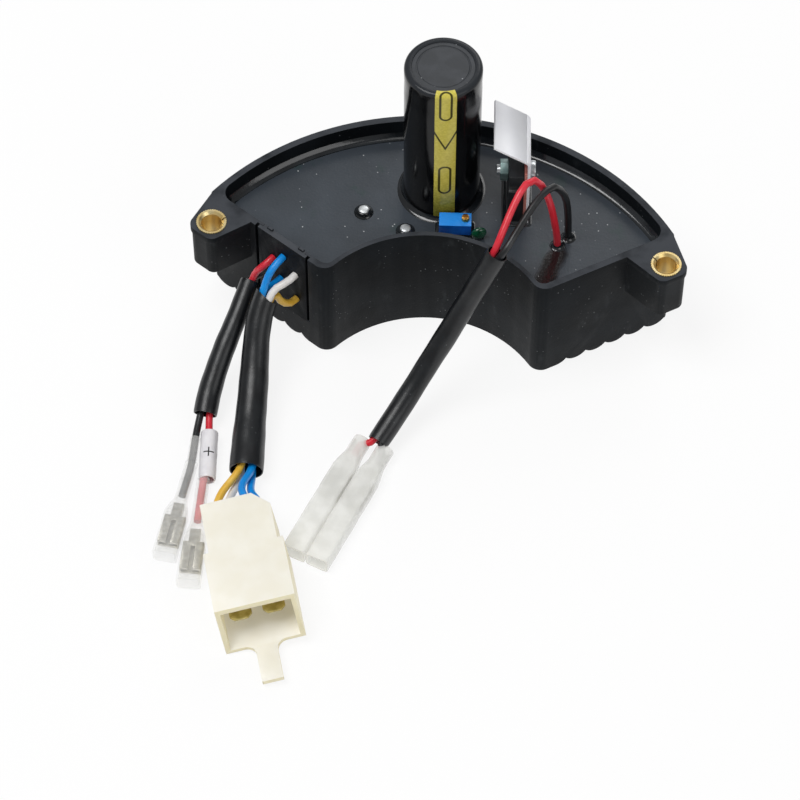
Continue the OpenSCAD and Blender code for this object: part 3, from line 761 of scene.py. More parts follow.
# The trimmer's lighter top is painted top light.
TRIMMER = TopLitPlastic("trimmer_blue", "#0a58bd", "#0f68cf", 0.002, (0.3, 0.42), 0.0003, 0.00002)
TRIM_BRASS = DrawnMetal("screw_brass", "#b8843c", "#d9ac62", 0.001, (0.25, 0.4), 0.0002, 0.00002, 1.0)
DIPPED = Finish("dipped_green", "#083d28", "#12573a", 0.0015, (0.15, 0.3), 0.0008, 0.00006, coat=0.6)
DOME = DrawnMetal("tinned_dome", "#c9cdd0", "#e6e9ea", 0.0015, (0.3, 0.42), 0.0009, 0.00003, 0.6)
BOARD = Finish("board_green", "#1f5a35", "#2a6b41", 0.004, (0.3, 0.45), 0.0006, 0.00002)
CERAMIC = Finish("resistor_cement", "#c4b391", "#d6c8a8", 0.002, (0.6, 0.8), 0.0004, 0.00004)
FILM_CAP = Finish("film_yellow", "#c9a92c", "#d8bb46", 0.003, (0.25, 0.4), 0.0006, 0.00002)
SLEEVING = Finish("sleeving_black", "#111316", "#1a1d20", 0.006, (0.28, 0.42), 0.0009, 0.00005, dust=0.12)
MARKER = MarkedTube("marker_white", "#eceaee", "#f6f4f7", 0.004, (0.25, 0.4), 0.0008, 0.00002, soft=0.1)
# Both boot films below glow: painted light that brightens them.
CLEAR = Finish(
    "clear_film", "#e4e4e2", "#f4f4f3", 0.004, (0.16, 0.3), 0.0016, 0.00008, coat=0.5, alpha=0.2, glow=0.15
)
CLEAR_PAIR = Finish(
    "milky_film", "#dfdfdb", "#ebebe8", 0.005, (0.24, 0.38), 0.004, 0.0001, coat=0.3, alpha=0.6, glow=0.2
)
TERMINAL = DrawnMetal("terminal_tin", "#a5a297", "#cac7bd", 0.002, (0.25, 0.42), 0.0004, 0.00002, 1.0)
# Its glow is painted light that brightens it; its deep colour is painted shade on its sides and inside.
IVORY = ClearIvory(
    "plug_ivory", "#e5e1d3", "#e9e6db", 0.008, (0.32, 0.44), 0.0012, 0.00002, soft=0.4, glow=0.17
)
BLADE = DrawnMetal("blade_brass", "#a89a5e", "#c9bc80", 0.002, (0.28, 0.45), 0.0004, 0.00002, 1.0)


def wire_finish(name: str, tone: str, second: str) -> Finish:
    """Smooth wire insulation of one colour."""
    return Finish(name, tone, second, 0.005, (0.28, 0.42), 0.0015, 0.00003, soft=0.05)


RED = wire_finish("wire_red", "#dc2436", "#e43a4a")
BLACK = wire_finish("wire_black", "#1a1b1d", "#242629")
BLUE = wire_finish("wire_blue", "#048ce2", "#0a9cf2")
WHITE = wire_finish("wire_white", "#e9e5e1", "#f4f1ee")
YELLOW = wire_finish("wire_yellow", "#ecb940", "#f5c95c")


# Meshes


def add_mesh(name: str, points: Sequence[Vector], faces: Sequence[Sequence[int]]) -> bpy.types.Object:
    """Makes a smooth mesh object with its normals outward.

    Args:
        name: object name.
        points: its points, in metres.
        faces: for each face, the numbers of its points.

    Returns:
        The object.
    """
    mesh = bpy.data.meshes.new(name)
    mesh.from_pydata([tuple(p) for p in points], [], faces)
    work = bmesh.new()
    work.from_mesh(mesh)
    bmesh.ops.recalc_face_normals(work, faces=work.faces)
    work.to_mesh(mesh)
    work.free()
    mesh.shade_smooth()
    made = bpy.data.objects.new(name, mesh)
    bpy.context.scene.collection.objects.link(made)
    return made


def loft(name: str, rings: Sequence[Ring], closed: bool = False, crease: float = 40.0) -> bpy.types.Object:
    """Joins rings of equal length in order.

    Args:
        name: object name.
        rings: the rings.
        closed: joins the last ring to the first, for a hollow piece; otherwise both ends get a cap.
        crease: angle in degrees above which an edge stays sharp.

    Returns:
        The object.
    """
    count, size = len(rings), len(rings[0])
    points = [p for ring in rings for p in ring]
    faces: list[list[int]] = []
    for i in range(count if closed else count - 1):
        here, there = i * size, (i + 1) % count * size
        for j in range(size):
            k = (j + 1) % size
            faces.append([here + j, there + j, there + k, here + k])
    if not closed:
        faces.append(list(range(size)))
        faces.append([(count - 1) * size + j for j in reversed(range(size))])
    made = add_mesh(name, points, faces)
    made.data.set_sharp_from_angle(angle=math.radians(crease))
    return made


def lathe(
    name: str,
    profile: Sequence[Flat],
    centre: Flat,
    closed: bool = False,
    sides: int = 96,
    crease: float = 40.0,
) -> bpy.types.Object:
    """Turns a profile of radius and height, in millimetres, about an upright axis.

    Args:
        name: object name.
        profile: radius and height of each point.
        centre: place of the axis, in millimetres.
        closed: joins the profile's end to its start.
        sides: number of sides.
        crease: angle above which an edge stays sharp, in degrees.

    Returns:
        The object.
    """
    turns = [math.tau * k / sides for k in range(sides)]
    rings = [
        [Vector((centre[0] + r * math.cos(t), centre[1] + r * math.sin(t), z)) * MM for t in turns]
        for r, z in profile
    ]
    return loft(name, rings, closed, crease)


def place(
    made: bpy.types.Object, finish: Finish, slot: str, *nodes: str, body: str = MODULE
) -> bpy.types.Object:
    """Gives a piece its finish and body, and lets it stand for CAD nodes.

    Args:
        made: the piece.
        finish: its finish.
        slot: the record's material slot; not used.
        nodes: the CAD nodes that it replaces.
        body: the CAD body that it rides on.

    Returns:
        The piece.
    """
    made.data.materials.clear()
    made.data.materials.append(finish.material())
    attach(made, body)
    if nodes:
        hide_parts(*nodes)
    log.info("%s rides on %s", made.name, body)
    return made


def dress(node: str, finish: Finish) -> None:
    """Gives a CAD node that stays its finish.

    Args:
        node: the node.
        finish: its finish.
    """
    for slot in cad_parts[node].material_slots:
        slot.material = finish.material()
    log.info("%s keeps its solid", node)


def soften(
    node: str, finish: Finish, slot: str, edge: float, body: str = MODULE, steps: int = 3
) -> bpy.types.Object:
    """Replaces a node by the same form with moulded or dressed edges.

    Args:
        node: the CAD node.
        finish: its finish.
        slot: the record's material slot.
        edge: width of the rounded edges, in metres.
        body: the CAD body that it rides on.
        steps: segments of each rounded edge.

    Returns:
        The new piece.
    """
    work = bmesh.new()
    work.from_mesh(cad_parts[node].data)
    bmesh.ops.remove_doubles(work, verts=work.verts, dist=SAME_POINT)
    bmesh.ops.dissolve_limit(
        work, angle_limit=math.radians(FLAT_ANGLE), verts=work.verts, edges=work.edges
    )
    mesh = bpy.data.meshes.new(f"{node}_finished")
    work.to_mesh(mesh)
    work.free()
    mesh.shade_smooth()
    made = bpy.data.objects.new(mesh.name, mesh)
    bpy.context.scene.collection.objects.link(made)
    bevel = made.modifiers.new("edges", "BEVEL")
    bevel.width, bevel.segments, bevel.limit_method = edge, steps, "ANGLE"
    bevel.angle_limit = math.radians(EDGE_ANGLE)
    bevel.harden_normals = True
    return place(made, finish, slot, node, body=body)


# Module


def wall_point(u: float, v: float, z: float) -> Vector:
    """A point of the wired end wall.

    Args:
        u: its place along the wall, in millimetres.
        v: its distance out of the wall, in millimetres.
        z: its height, in millimetres.

    Returns:
        The point, in millimetres.
    """
    a = math.radians(180 - END_ANG)
    return Vector((u * math.cos(a) - v * math.sin(a), ARC_Y + u * math.sin(a) + v * math.cos(a), z))


def arc(middle: float, at: float, radius: float, first: float, last: float, steps: int) -> list[Flat]:
    """Points of an arc.

    Args:
        middle: distance of its centre from the origin, in millimetres.
        at: direction of its centre from the origin, in degrees.
        radius: its radius, in millimetres.
        first: angle at which it starts, in degrees.
        last: angle at which it ends, in degrees.
        steps: number of its parts.

    Returns:
        The points, in millimetres.
    """
    x, y = middle * math.cos(math.radians(at)), middle * math.sin(math.radians(at))
    turns = [math.radians(first + (last - first) * k / steps) for k in range(steps + 1)]
    return [(x + radius * math.cos(t), y + radius * math.sin(t)) for t in turns]


@dataclass
class Shell:
    """The housing, its wire exit plate and its two bushes; sizes in millimetres.

    Attributes:
        edge: width of the housing's rounded edges.
        plate_edge: width of the exit plate's rounded edges.
        top: height of the housing.
        catches: place along the wall of each catch on the exit plate.
        catch_in: how far a catch is set in from the wall's face.
        catch_half: half a catch's length and half its width.
        catch_levels: height over the top, and share of the full size, of each level of a catch.
    """

    edge: float = 0.25
    plate_edge: float = 0.15
    top: float = 40.0
    catches: Flat = (58.2, 46.6)
    catch_in: float = 1.6
    catch_half: Flat = (0.95, 0.4)
    catch_levels: tuple[Flat, ...] = ((-0.3, 1.0), (0.27, 1.0), (0.45, 0.6))

    def catch(self, name: str, u: float) -> None:
        """Adds one snap catch: a small wedge on the exit plate's top edge.

        Args:
            name: object name.
            u: its place along the wall.
        """
        long, wide = self.catch_half
        rings = []
        for rise, share in self.catch_levels:
            front = [(-long * share, -wide), (long * share, -wide)]
            corners = [*front, (long, wide * share), (-long, wide * share)]
            rings.append([wall_point(u + x, y - self.catch_in, self.top + rise) * MM for x, y in corners])
        place(loft(name, rings), INSERT, "plate_plastic")

    def build(self) -> None:
        """Dresses the housing and the pieces in it."""
        soften("housing", HOUSING, "case_plastic", self.edge * MM)
        soften("wire_exit_plate", INSERT, "plate_plastic", self.plate_edge * MM)
        for side, u in zip(("left", "right"), self.catches):
            dress(f"bush_{side}", BUSH_BRASS)
            self.catch(f"plate_catch_{side}", u)


@dataclass
class Tray:
    """The resin in the tray, with the fillets that it forms, painted dark as shade; sizes in millimetres.

    Attributes:
        inner_r: radius of the tray's inner side.
        outer_r: radius of the tray's outer side.
        end_in: how far the tray's ends are set in.
        tip_r: radius of its inner corners.
        corner_r: radius of its outer corners.
        parts: number of parts of the outer side, of each corner and of the inner side.
        level: height of the resin.
        climb: height to which it climbs the wall.
        reach: width of the fillet at the wall.
        hollow: how hollow a fillet is; 1 is a plain slope.
        root: how far a fillet goes into the resin.
        round_feet: for each fillet round a cylinder, its name, its middle, the cylinder's radius, and the
            fillet's climb and reach.
        square_feet: for each fillet round a block, its name, its middle, the block's width and depth, its
            turn in degrees, and the fillet's climb and reach.
    """

    inner_r: float = 37.6
    outer_r: float = 78.0
    end_in: float = 2.0
    tip_r: float = 2.6
    corner_r: float = 4.0
    parts: tuple[int, int, int] = (90, 8, 60)
    level: float = 33.5
    climb: float = 1.5
    reach: float = 2.2
    hollow: float = 2.2
    root: float = 0.1
    round_feet: tuple[tuple[str, Flat, float, float, float], ...] = (
        ("capacitor", (-1.6, 7.6), 10.95, 1.3, 1.8),
        ("red", (33.6, -9.0), 1.0, 1.0, 1.3),
        ("black", (36.4, -5.6), 1.0, 1.0, 1.3),
    )
    square_feet: tuple[tuple[str, Flat, Flat, float, float, float], ...] = (
        ("trimmer", (3.9, -6.7), (9.1, 4.6), 4.6, 0.9, 1.2),
        ("transistor", (20.4, 6.2), (6.2, 17.2), 5.5, 0.9, 1.3),
    )

    def outline(self, inset: float) -> list[Flat]:
        """The tray's outline.

        Args:
            inset: how far it is set in.

        Returns:
            Its points.
        """
        inner = self.inner_r + self.tip_r
        outer = self.outer_r - self.corner_r
        tip = END_ANG + math.degrees(math.asin((self.end_in + self.tip_r) / inner))
        corner = END_ANG + math.degrees(math.asin((self.end_in + self.corner_r) / outer))
        wall = END_ANG - 90
        far, short, near = self.parts
        points = arc(0, 0, self.outer_r - inset, corner, 180 - corner, far)
        points += arc(outer, 180 - corner, self.corner_r - inset, 180 - corner, 180 - wall, short)
        points += arc(inner, 180 - tip, self.tip_r - inset, 180 - wall, 360 - tip, short)
        points += arc(0, 0, self.inner_r + inset, 180 - tip, tip, near)
        points += arc(inner, tip, self.tip_r - inset, 180 + tip, 360 + wall, short)
        points += arc(outer, corner, self.corner_r - inset, wall, corner, short)
        return [(x, y + ARC_Y) for x, y in points]

    def foot(self, name: str, outline: Outline, climb: float, reach: float) -> None:
        """Adds a hollow fillet of resin against a wall or round a piece, painted dark as shade and
        reflection.

        Args:
            name: object name.
            outline: gives the fillet's outline at a distance from the wall.
            climb: its height at the wall.
            reach: its width.
        """
        steps = 6
        profile = [(reach * k / steps, climb * (1 - k / steps) ** self.hollow) for k in range(steps + 1)]
        profile = [(0.0, -self.root), *profile, (reach, -self.root)]
        rings = [[Vector((x, y, self.level + rise)) * MM for x, y in outline(away)] for away, rise in profile]
        place(loft(name, rings, closed=True), SHADED_RESIN, "potting")

    @staticmethod
    def round_foot(centre: Flat, radius: float) -> Outline:
        """Outline round an upright cylinder."""
        return lambda away: [
            (centre[0] + (radius + away) * math.cos(t), centre[1] + (radius + away) * math.sin(t))
            for t in (math.tau * k / FOOT_SIDES for k in range(FOOT_SIDES))
        ]

    @staticmethod
    def square_foot(centre: Flat, size: Flat, turn: float) -> Outline:
        """Outline round an upright block, with round corners away from it.

        Args:
            centre: middle of the block.
            size: its width and depth.
            turn: its turn, in degrees.

        Returns:
            A function that gives the outline at a distance from the block.
        """
        cos, sin = math.cos(math.radians(turn)), math.sin(math.radians(turn))
        corners = [(sx * size[0] / 2, sy * size[1] / 2) for sx, sy in ((1, 1), (-1, 1), (-1, -1), (1, -1))]

        def outline(away: float) -> list[Flat]:
            """The outline at one distance."""
            points = []
            for k, (half_x, half_y) in enumerate(corners):
                for step in range(CURVE_PARTS // 2 + 1):
                    t = math.radians(90 * (k + 2 * step / CURVE_PARTS))
                    x, y = half_x + away * math.cos(t), half_y + away * math.sin(t)
                    points.append((centre[0] + x * cos - y * sin, centre[1] + x * sin + y * cos))
            return points

        return outline

    def build(self) -> None:
        """Dresses the resin and adds its fillets."""
        dress("potting_compound", RESIN)
        self.foot("resin_edge", self.outline, self.climb, self.reach)
        for name, centre, radius, climb, reach in self.round_feet:
            self.foot(f"resin_foot_{name}", self.round_foot(centre, radius), climb, reach)
        for name, centre, size, turn, climb, reach in self.square_feet:
            self.foot(f"resin_foot_{name}", self.square_foot(centre, size, turn), climb, reach)


@dataclass
class StandingCapacitor:
    """The capacitor: film with a rolled lip, end disc and can; sizes in millimetres.

    Attributes:
        centre: place of its axis.
        radius: radius over the film.
        foot: height of its lower end.
        length: length of the can.
        skin: thickness of the film.
        shoulder: radius of the film's shoulder.
        drop: how far below the can's top the shoulder starts.
        play: how far the film keeps inside its radius at its foot and above it.
        groove: depth of the can's groove, its distance below the shoulder, and its width.
        lip: radius, and height over the shoulder's start, of each point of the rolled lip.
        pressed: radius, and height over the can's top, of each point of the end disc.
    """

    centre: Flat = (-1.6, 7.6)
    radius: float = 11.0
    foot: float = 28.5
    length: float = 60.0
    skin: float = 0.3
    shoulder: float = 1.3
    drop: float = 1.0
    play: Flat = (0.04, 0.03)
    groove: Place = (0.12, 5.5, 1.1)
    lip: tuple[Flat, ...] = ((8.9, 1.24), (8.8, 1.04), (10.1, 1.0), (10.7, 0.4))
    pressed: tuple[Flat, ...] = (
        (10.65, -1.2), (10.65, -0.15), (10.3, -0.02), (7.7, -0.02), (7.55, -0.24),
        (7.3, -0.26), (7.1, -0.06), (4.0, -0.06), (1.0, -0.05), (0.05, -0.05),
    )

    def film(self) -> None:
        """Makes the film, drawn in a little at the can's groove."""
        top = self.foot + self.length - self.drop
        neck = self.radius - self.shoulder
        depth, down, width = self.groove
        profile = [(self.radius - self.play[0], self.foot)]
        steps = 24
        for k in range(1, steps):
            z = self.foot + (top - self.foot) * k / steps
            drawn_in = depth * math.exp(-(((z - top + down) / width) ** 2))
            profile.append((self.radius - self.play[1] - drawn_in, z))
        for k in range(CURVE_PARTS + 1):
            t = math.radians(90 * k / CURVE_PARTS)
            profile.append((neck + self.shoulder * math.cos(t), top + self.shoulder * math.sin(t)))
        profile += [(r, top + rise) for r, rise in self.lip]
        profile.append((self.radius - self.skin, self.foot))
        film = lathe("capacitor_film", profile, self.centre, closed=True, sides=128)
        place(film, FILM, "black_film", "capacitor_sleeve")

    def disc(self) -> None:
        """Makes the end disc, dished, with a pressed ring."""
        profile = [(r, self.foot + self.length + rise) for r, rise in self.pressed]
        place(lathe("capacitor_end", profile, self.centre), DISC, "disc_rubber", "capacitor_top_disc")

    def build(self) -> None:
        """Builds and dresses the capacitor."""
        self.film()
        self.disc()
        dress("capacitor_can", CAN)
        dress("capacitor_pins", TINNED)


@dataclass
class PowerStage:
    """Transistor, pad, plate, screw and nut; edges in millimetres.

    Attributes:
        edges: width of the rounded edges of each node.
    """

    edges: tuple[tuple[str, Finish, str, float], ...] = (
        ("heat_sink_plate", PLATE, "plate_metal", 0.12),
        ("transistor_body", EPOXY, "epoxy", 0.25),
        ("insulating_pad", PAD, "pad", 0.08),
        ("clamp_screw", SCREW, "screw_steel", 0.2),
        ("clamp_nut", NUT, "nut_zinc", 0.2),
    )

    def build(self) -> None:
        """Dresses the stack."""
        for node, finish, slot, edge in self.edges:
            soften(node, finish, slot, edge * MM)
        dress("transistor_leads", TINNED)


@dataclass
class SmallParts:
    """Trimmer, dipped capacitor and domes; sizes in millimetres.

    Attributes:
        level: height of the resin.
        bead_at: place of the dipped capacitor.
        bead_turn: its turn, in degrees.
        bead_half: its radius and half its thickness.
        bead_round: how full its rim is; 1 is a plain ellipse.
        bead_up: height of its middle over the resin.
        leg_out: distance of each leg from its middle.
        leg: radius, and height over the resin, of each point of a leg.
        domes: places of the two domes.
        dome_bead: radius and height of each point of the resin that climbs a dome.
        dome_cap: the same for the dome.
        edges: width of the rounded edges of the trimmer's body and of its screw.
    """

    level: float = 33.5
    bead_at: Flat = (11.0, -9.0)
    bead_turn: float = 20.0
    bead_half: Flat = (2.25, 1.05)
    bead_round: float = 0.7
    bead_up: float = 2.5
    leg_out: float = 1.2
    leg: tuple[Flat, ...] = ((0.3, -4.0), (0.3, 0.0), (0.42, 0.6), (0.7, 1.4))
    domes: tuple[Flat, ...] = ((-22.9, -3.4), (-10.2, -8.8))
    dome_bead: tuple[Flat, ...] = (
        (1.0, -0.5), (2.9, -0.5), (2.8, 0.03), (2.4, 0.22),
        (2.15, 0.7), (1.95, 1.15), (1.68, 1.36), (1.45, 1.3),
    )
    dome_cap: tuple[Flat, ...] = (
        (1.0, -9.9), (1.0, 0.0), (1.55, 1.0), (1.5, 1.4), (1.25, 1.58), (0.8, 1.66), (0.3, 1.7),
    )
    edges: Flat = (0.2, 0.08)

    def turned(
        self, name: str, profile: Sequence[Flat], centre: Flat, sides: int, crease: float = 40.0
    ) -> bpy.types.Object:
        """Turns a profile whose heights count from the resin.

        Args:
            name: object name.
            profile: radius and height of each point.
            centre: place of the axis.
            sides: number of sides.
            crease: angle above which an edge stays sharp, in degrees.

        Returns:
            The object.
        """
        return lathe(name, [(r, self.level + rise) for r, rise in profile], centre, False, sides, crease)

    def bead(self) -> None:
        """Makes the dipped capacitor: a round lens that runs down its two legs."""
        radius, thick = self.bead_half
        steps = 14
        turns = [math.pi * k / steps for k in range(1, steps)]
        rings = [(radius * math.sin(t) ** self.bead_round, thick * math.cos(t)) for t in turns]
        body = lathe("dipped_capacitor", rings, (0, 0), sides=40, crease=80)
        turn = Matrix.Rotation(math.radians(self.bead_turn), 4, "Z") @ Matrix.Rotation(math.pi / 2, 4, "X")
        centre = Vector((*self.bead_at, self.level + self.bead_up)) * MM
        body.data.transform(Matrix.Translation(centre) @ turn)
        place(body, DIPPED, "dipped_green", "ceramic_capacitor")
        cos, sin = math.cos(math.radians(self.bead_turn)), math.sin(math.radians(self.bead_turn))
        for side, out in (("left", -self.leg_out), ("right", self.leg_out)):
            foot = (self.bead_at[0] + out * cos, self.bead_at[1] + out * sin)
            place(self.turned(f"dipped_leg_{side}", self.leg, foot, sides=20), DIPPED, "dipped_green")

    def dome(self, number: int, centre: Flat) -> bpy.types.Object:
        """Makes one dome, and the bead of resin that climbs it, painted dark as shade.

        Args:
            number: the dome's number.
            centre: its place.

        Returns:
            The dome.
        """
        bead = self.turned(f"dome_bead_{number}", self.dome_bead, centre, sides=48, crease=70)
        place(bead, SHADED_RESIN, "potting")
        return self.turned(f"dome_{number}", self.dome_cap, centre, sides=48, crease=70)

    def build(self) -> None:
        """Builds and dresses the small parts."""
        body_edge, screw_edge = self.edges
        soften("trimmer_body", TRIMMER, "trimmer_blue", body_edge * MM)
        soften("trimmer_screw", TRIM_BRASS, "brass_screw", screw_edge * MM, ADJUSTER, 2)
        dress("trimmer_pins", TINNED)
        self.bead()
        first, second = (self.dome(k + 1, centre) for k, centre in enumerate(self.domes))
        place(first, DOME, "dome", "dome_posts")
        place(second, DOME, "dome")


@dataclass
class PottedBoard:
    """The pieces that the resin hides."""

    finishes: tuple[tuple[str, Finish], ...] = (
        ("circuit_board", BOARD),
        ("bridge_rectifier", EPOXY),
        ("power_diodes", EPOXY),
        ("control_chip", EPOXY),
        ("power_resistors", CERAMIC),
        ("film_capacitor", FILM_CAP),
    )

    def build(self) -> None:
        """Dresses the hidden pieces."""
        for node, finish in self.finishes:
            dress(node, finish)


# Harness


def unit(v: Vector) -> Vector:
    """The vector at length 1."""
    return v.normalized()


def tangent(route: Sequence[Vector], i: int) -> Vector:
    """Direction of a route at one of its points.

    Args:
        route: the route.
        i: number of the point.

    Returns:
        The direction, at length 1.
    """
    if i == 0:
        return unit(route[1] - route[0])
    if i == len(route) - 1:
        return unit(route[i] - route[i - 1])
    return unit(unit(route[i] - route[i - 1]) + unit(route[i + 1] - route[i]))


def beside(route: Sequence[Vector], ref: Vector, ang: float, turn: float, r0: float, r1: float) -> Ring:
    """A route that keeps a place beside another one.

    Args:
        route: the other route.
        ref: direction from which the angle counts.
        ang: angle at the start, in degrees.
        turn: change of the angle along the route, in degrees.
        r0: distance at the start.
        r1: distance at the end.

    Returns:
        The new route.
    """
    points = []
    for i, p in enumerate(route):
        t = tangent(route, i)
        s = unit(ref - ref.dot(t) * t)
        f = i / (len(route) - 1)
        a = math.radians(ang + turn * f)
        points.append(p + (r0 + (r1 - r0) * f) * (math.cos(a) * s + math.sin(a) * t.cross(s)))
    return points


def smooth(route: Sequence[Vector], count: int) -> Ring:
    """A smooth curve through a route's points.

    Args:
        route: the points that it passes.
        count: number of points of the curve, evenly spaced.

    Returns:
        The curve's points.
    """
    ends = [2 * route[0] - route[1], *route, 2 * route[-1] - route[-2]]
    fine: Ring = []
    for i in range(1, len(ends) - 2):
        a, b, c, d = ends[i - 1 : i + 3]
        ta = math.sqrt((b - a).length)
        tb = ta + math.sqrt((c - b).length)
        tc = tb + math.sqrt((d - c).length)
        for k in range(24):
            t = ta + (tb - ta) * k / 24
            ab = a * ((ta - t) / ta) + b * (t / ta)
            bc = b * ((tb - t) / (tb - ta)) + c * ((t - ta) / (tb - ta))
            cd = c * ((tc - t) / (tc - tb)) + d * ((t - tb) / (tc - tb))
            abc = ab * ((tb - t) / tb) + bc * (t / tb)
            bcd = bc * ((tc - t) / (tc - ta)) + cd * ((t - ta) / (tc - ta))
            fine.append(abc * ((tb - t) / (tb - ta)) + bcd * ((t - ta) / (tb - ta)))
    fine.append(route[-1])
    reach = [0.0]
    for p, q in zip(fine, fine[1:]):
        reach.append(reach[-1] + (q - p).length)
    points, j = [], 0
    for k in range(count):
        goal = reach[-1] * k / (count - 1)
        while j < len(fine) - 2 and reach[j + 1] < goal:
            j += 1
        share = (goal - reach[j]) / (reach[j + 1] - reach[j])
        points.append(fine[j].lerp(fine[j + 1], min(max(share, 0.0), 1.0)))
    return points


def vectors(*points: Place) -> Ring:
    """Points as vectors."""
    return [Vector(p) for p in points]


def way(*points: Place) -> Ring:
    """A dataclass field that holds points as vectors."""
    return field(default_factory=lambda: vectors(*points))


class BootKind(Enum):
    """Shape of a terminal boot, in millimetres.

    Each value holds the length of the neck, the length of the box, the radius of the neck, and how far the
    lip reaches up the wire.
    """

    BLACK = (11.0, 13.0, 1.9, 0.4)
    RED = (14.0, 13.0, 1.9, 0.4)
    OUTPUT = (3.0, 30.0, 2.7, 2.0)


@dataclass(frozen=True)
class BootSpot:
    """Where a boot lies.

    Attributes:
        name: what its pieces are called after.
        at: place of its neck's mouth, in millimetres.
        turn: its turn from -Y, in degrees.
        kind: its shape.
    """

    name: str
    at: Place
    turn: float
    kind: BootKind

    def point(self, x: float, y: float, z: float = 0.0) -> Vector:
        """A point in the boot's own frame."""
        return Vector(self.at) + Matrix.Rotation(math.radians(self.turn), 3, "Z") @ Vector((x, y, z))


@dataclass(frozen=True)
class PlugWire:
    """One of the plug's wires.

    Attributes:
        name: the CAD node that it replaces.
        finish: its finish.
        slot: the record's material slot.
        hole: place along the wall and height of its hole, in millimetres.
        turn: its place round the sleeve's axis, in degrees.
        middle: a point of it between sleeve and plug, in the plug's frame, in millimetres.
        sides: side of its blade, and its own side of that blade; 1 is right and -1 is left.
    """

    name: str
    finish: Finish
    slot: str
    hole: Flat
    turn: float
    middle: Place
    sides: tuple[int, int]


@dataclass(frozen=True)
class SpadeWire:
    """One of the two wires from the exit plate to a boot.

    Attributes:
        name: the CAD node that it replaces.
        hole: place along the wall and height of its hole, in millimetres.
        turn: its place round the sleeve's axis, in degrees.
        reach: how far it keeps its direction at both ends of its bend, in millimetres.
        tail: points between its sleeve and its boot, in millimetres.
    """

    name: str
    hole: Flat
    turn: float
    reach: float
    tail: tuple[Place, ...]


@dataclass
class Plug:
    """The two-way plug; sizes in millimetres.

    Attributes:
        at: place of the middle of its wired end.
        turn: its turn, in degrees.
        roll: its roll about its left bottom edge, in degrees.
        width: its width.
        blade_pitch: distance between its blades.
        blade_z: height of the blades.
        entry: places before and inside of the plug that each wire passes.
        pair_x: distance of each wire from the middle of its blade.
        edges: width of the rounded edges of its housing and of its blades.
    """

    at: Place = (-46.5, -93.0, 0.0)
    turn: float = 17.5
    roll: float = 8.0
    width: float = 22.6
    blade_pitch: float = 9.4
    blade_z: float = 9.0
    entry: Flat = (0.5, -2.5)
    pair_x: float = 1.4
    edges: Flat = (0.35, 0.12)

    def point(self, x: float, y: float, z: float) -> Vector:
        """A point in the plug's own frame, rolled about its left bottom edge.

        Args:
            x: its place to the right.
            y: its place towards the wires.
            z: its height.

        Returns:
            The point.
        """
        edge = Vector((self.width / 2, 0, 0))
        rolled = Matrix.Rotation(math.radians(-self.roll), 3, "Y") @ (Vector((x, y, z)) + edge) - edge
        return Vector(self.at) + Matrix.Rotation(math.radians(self.turn), 3, "Z") @ rolled

    def barrel(self, lead: PlugWire) -> Ring:
        """The end of a wire's route, into the barrel of its blade."""
        x = lead.sides[0] * self.blade_pitch / 2 + lead.sides[1] * self.pair_x
        return [self.point(*lead.middle), *(self.point(x, y, self.blade_z) for y in self.entry)]

    def build(self) -> list[bpy.types.Object]:
        """Dresses the plug and its blades."""
        body, blade = (edge * MM for edge in self.edges)
        return [
            soften("plug_housing", IVORY, "plug_ivory", body),
            soften("plug_blade_left", BLADE, "blade_brass", blade, steps=2),
            soften("plug_blade_right", BLADE, "blade_brass", blade, steps=2),
        ]


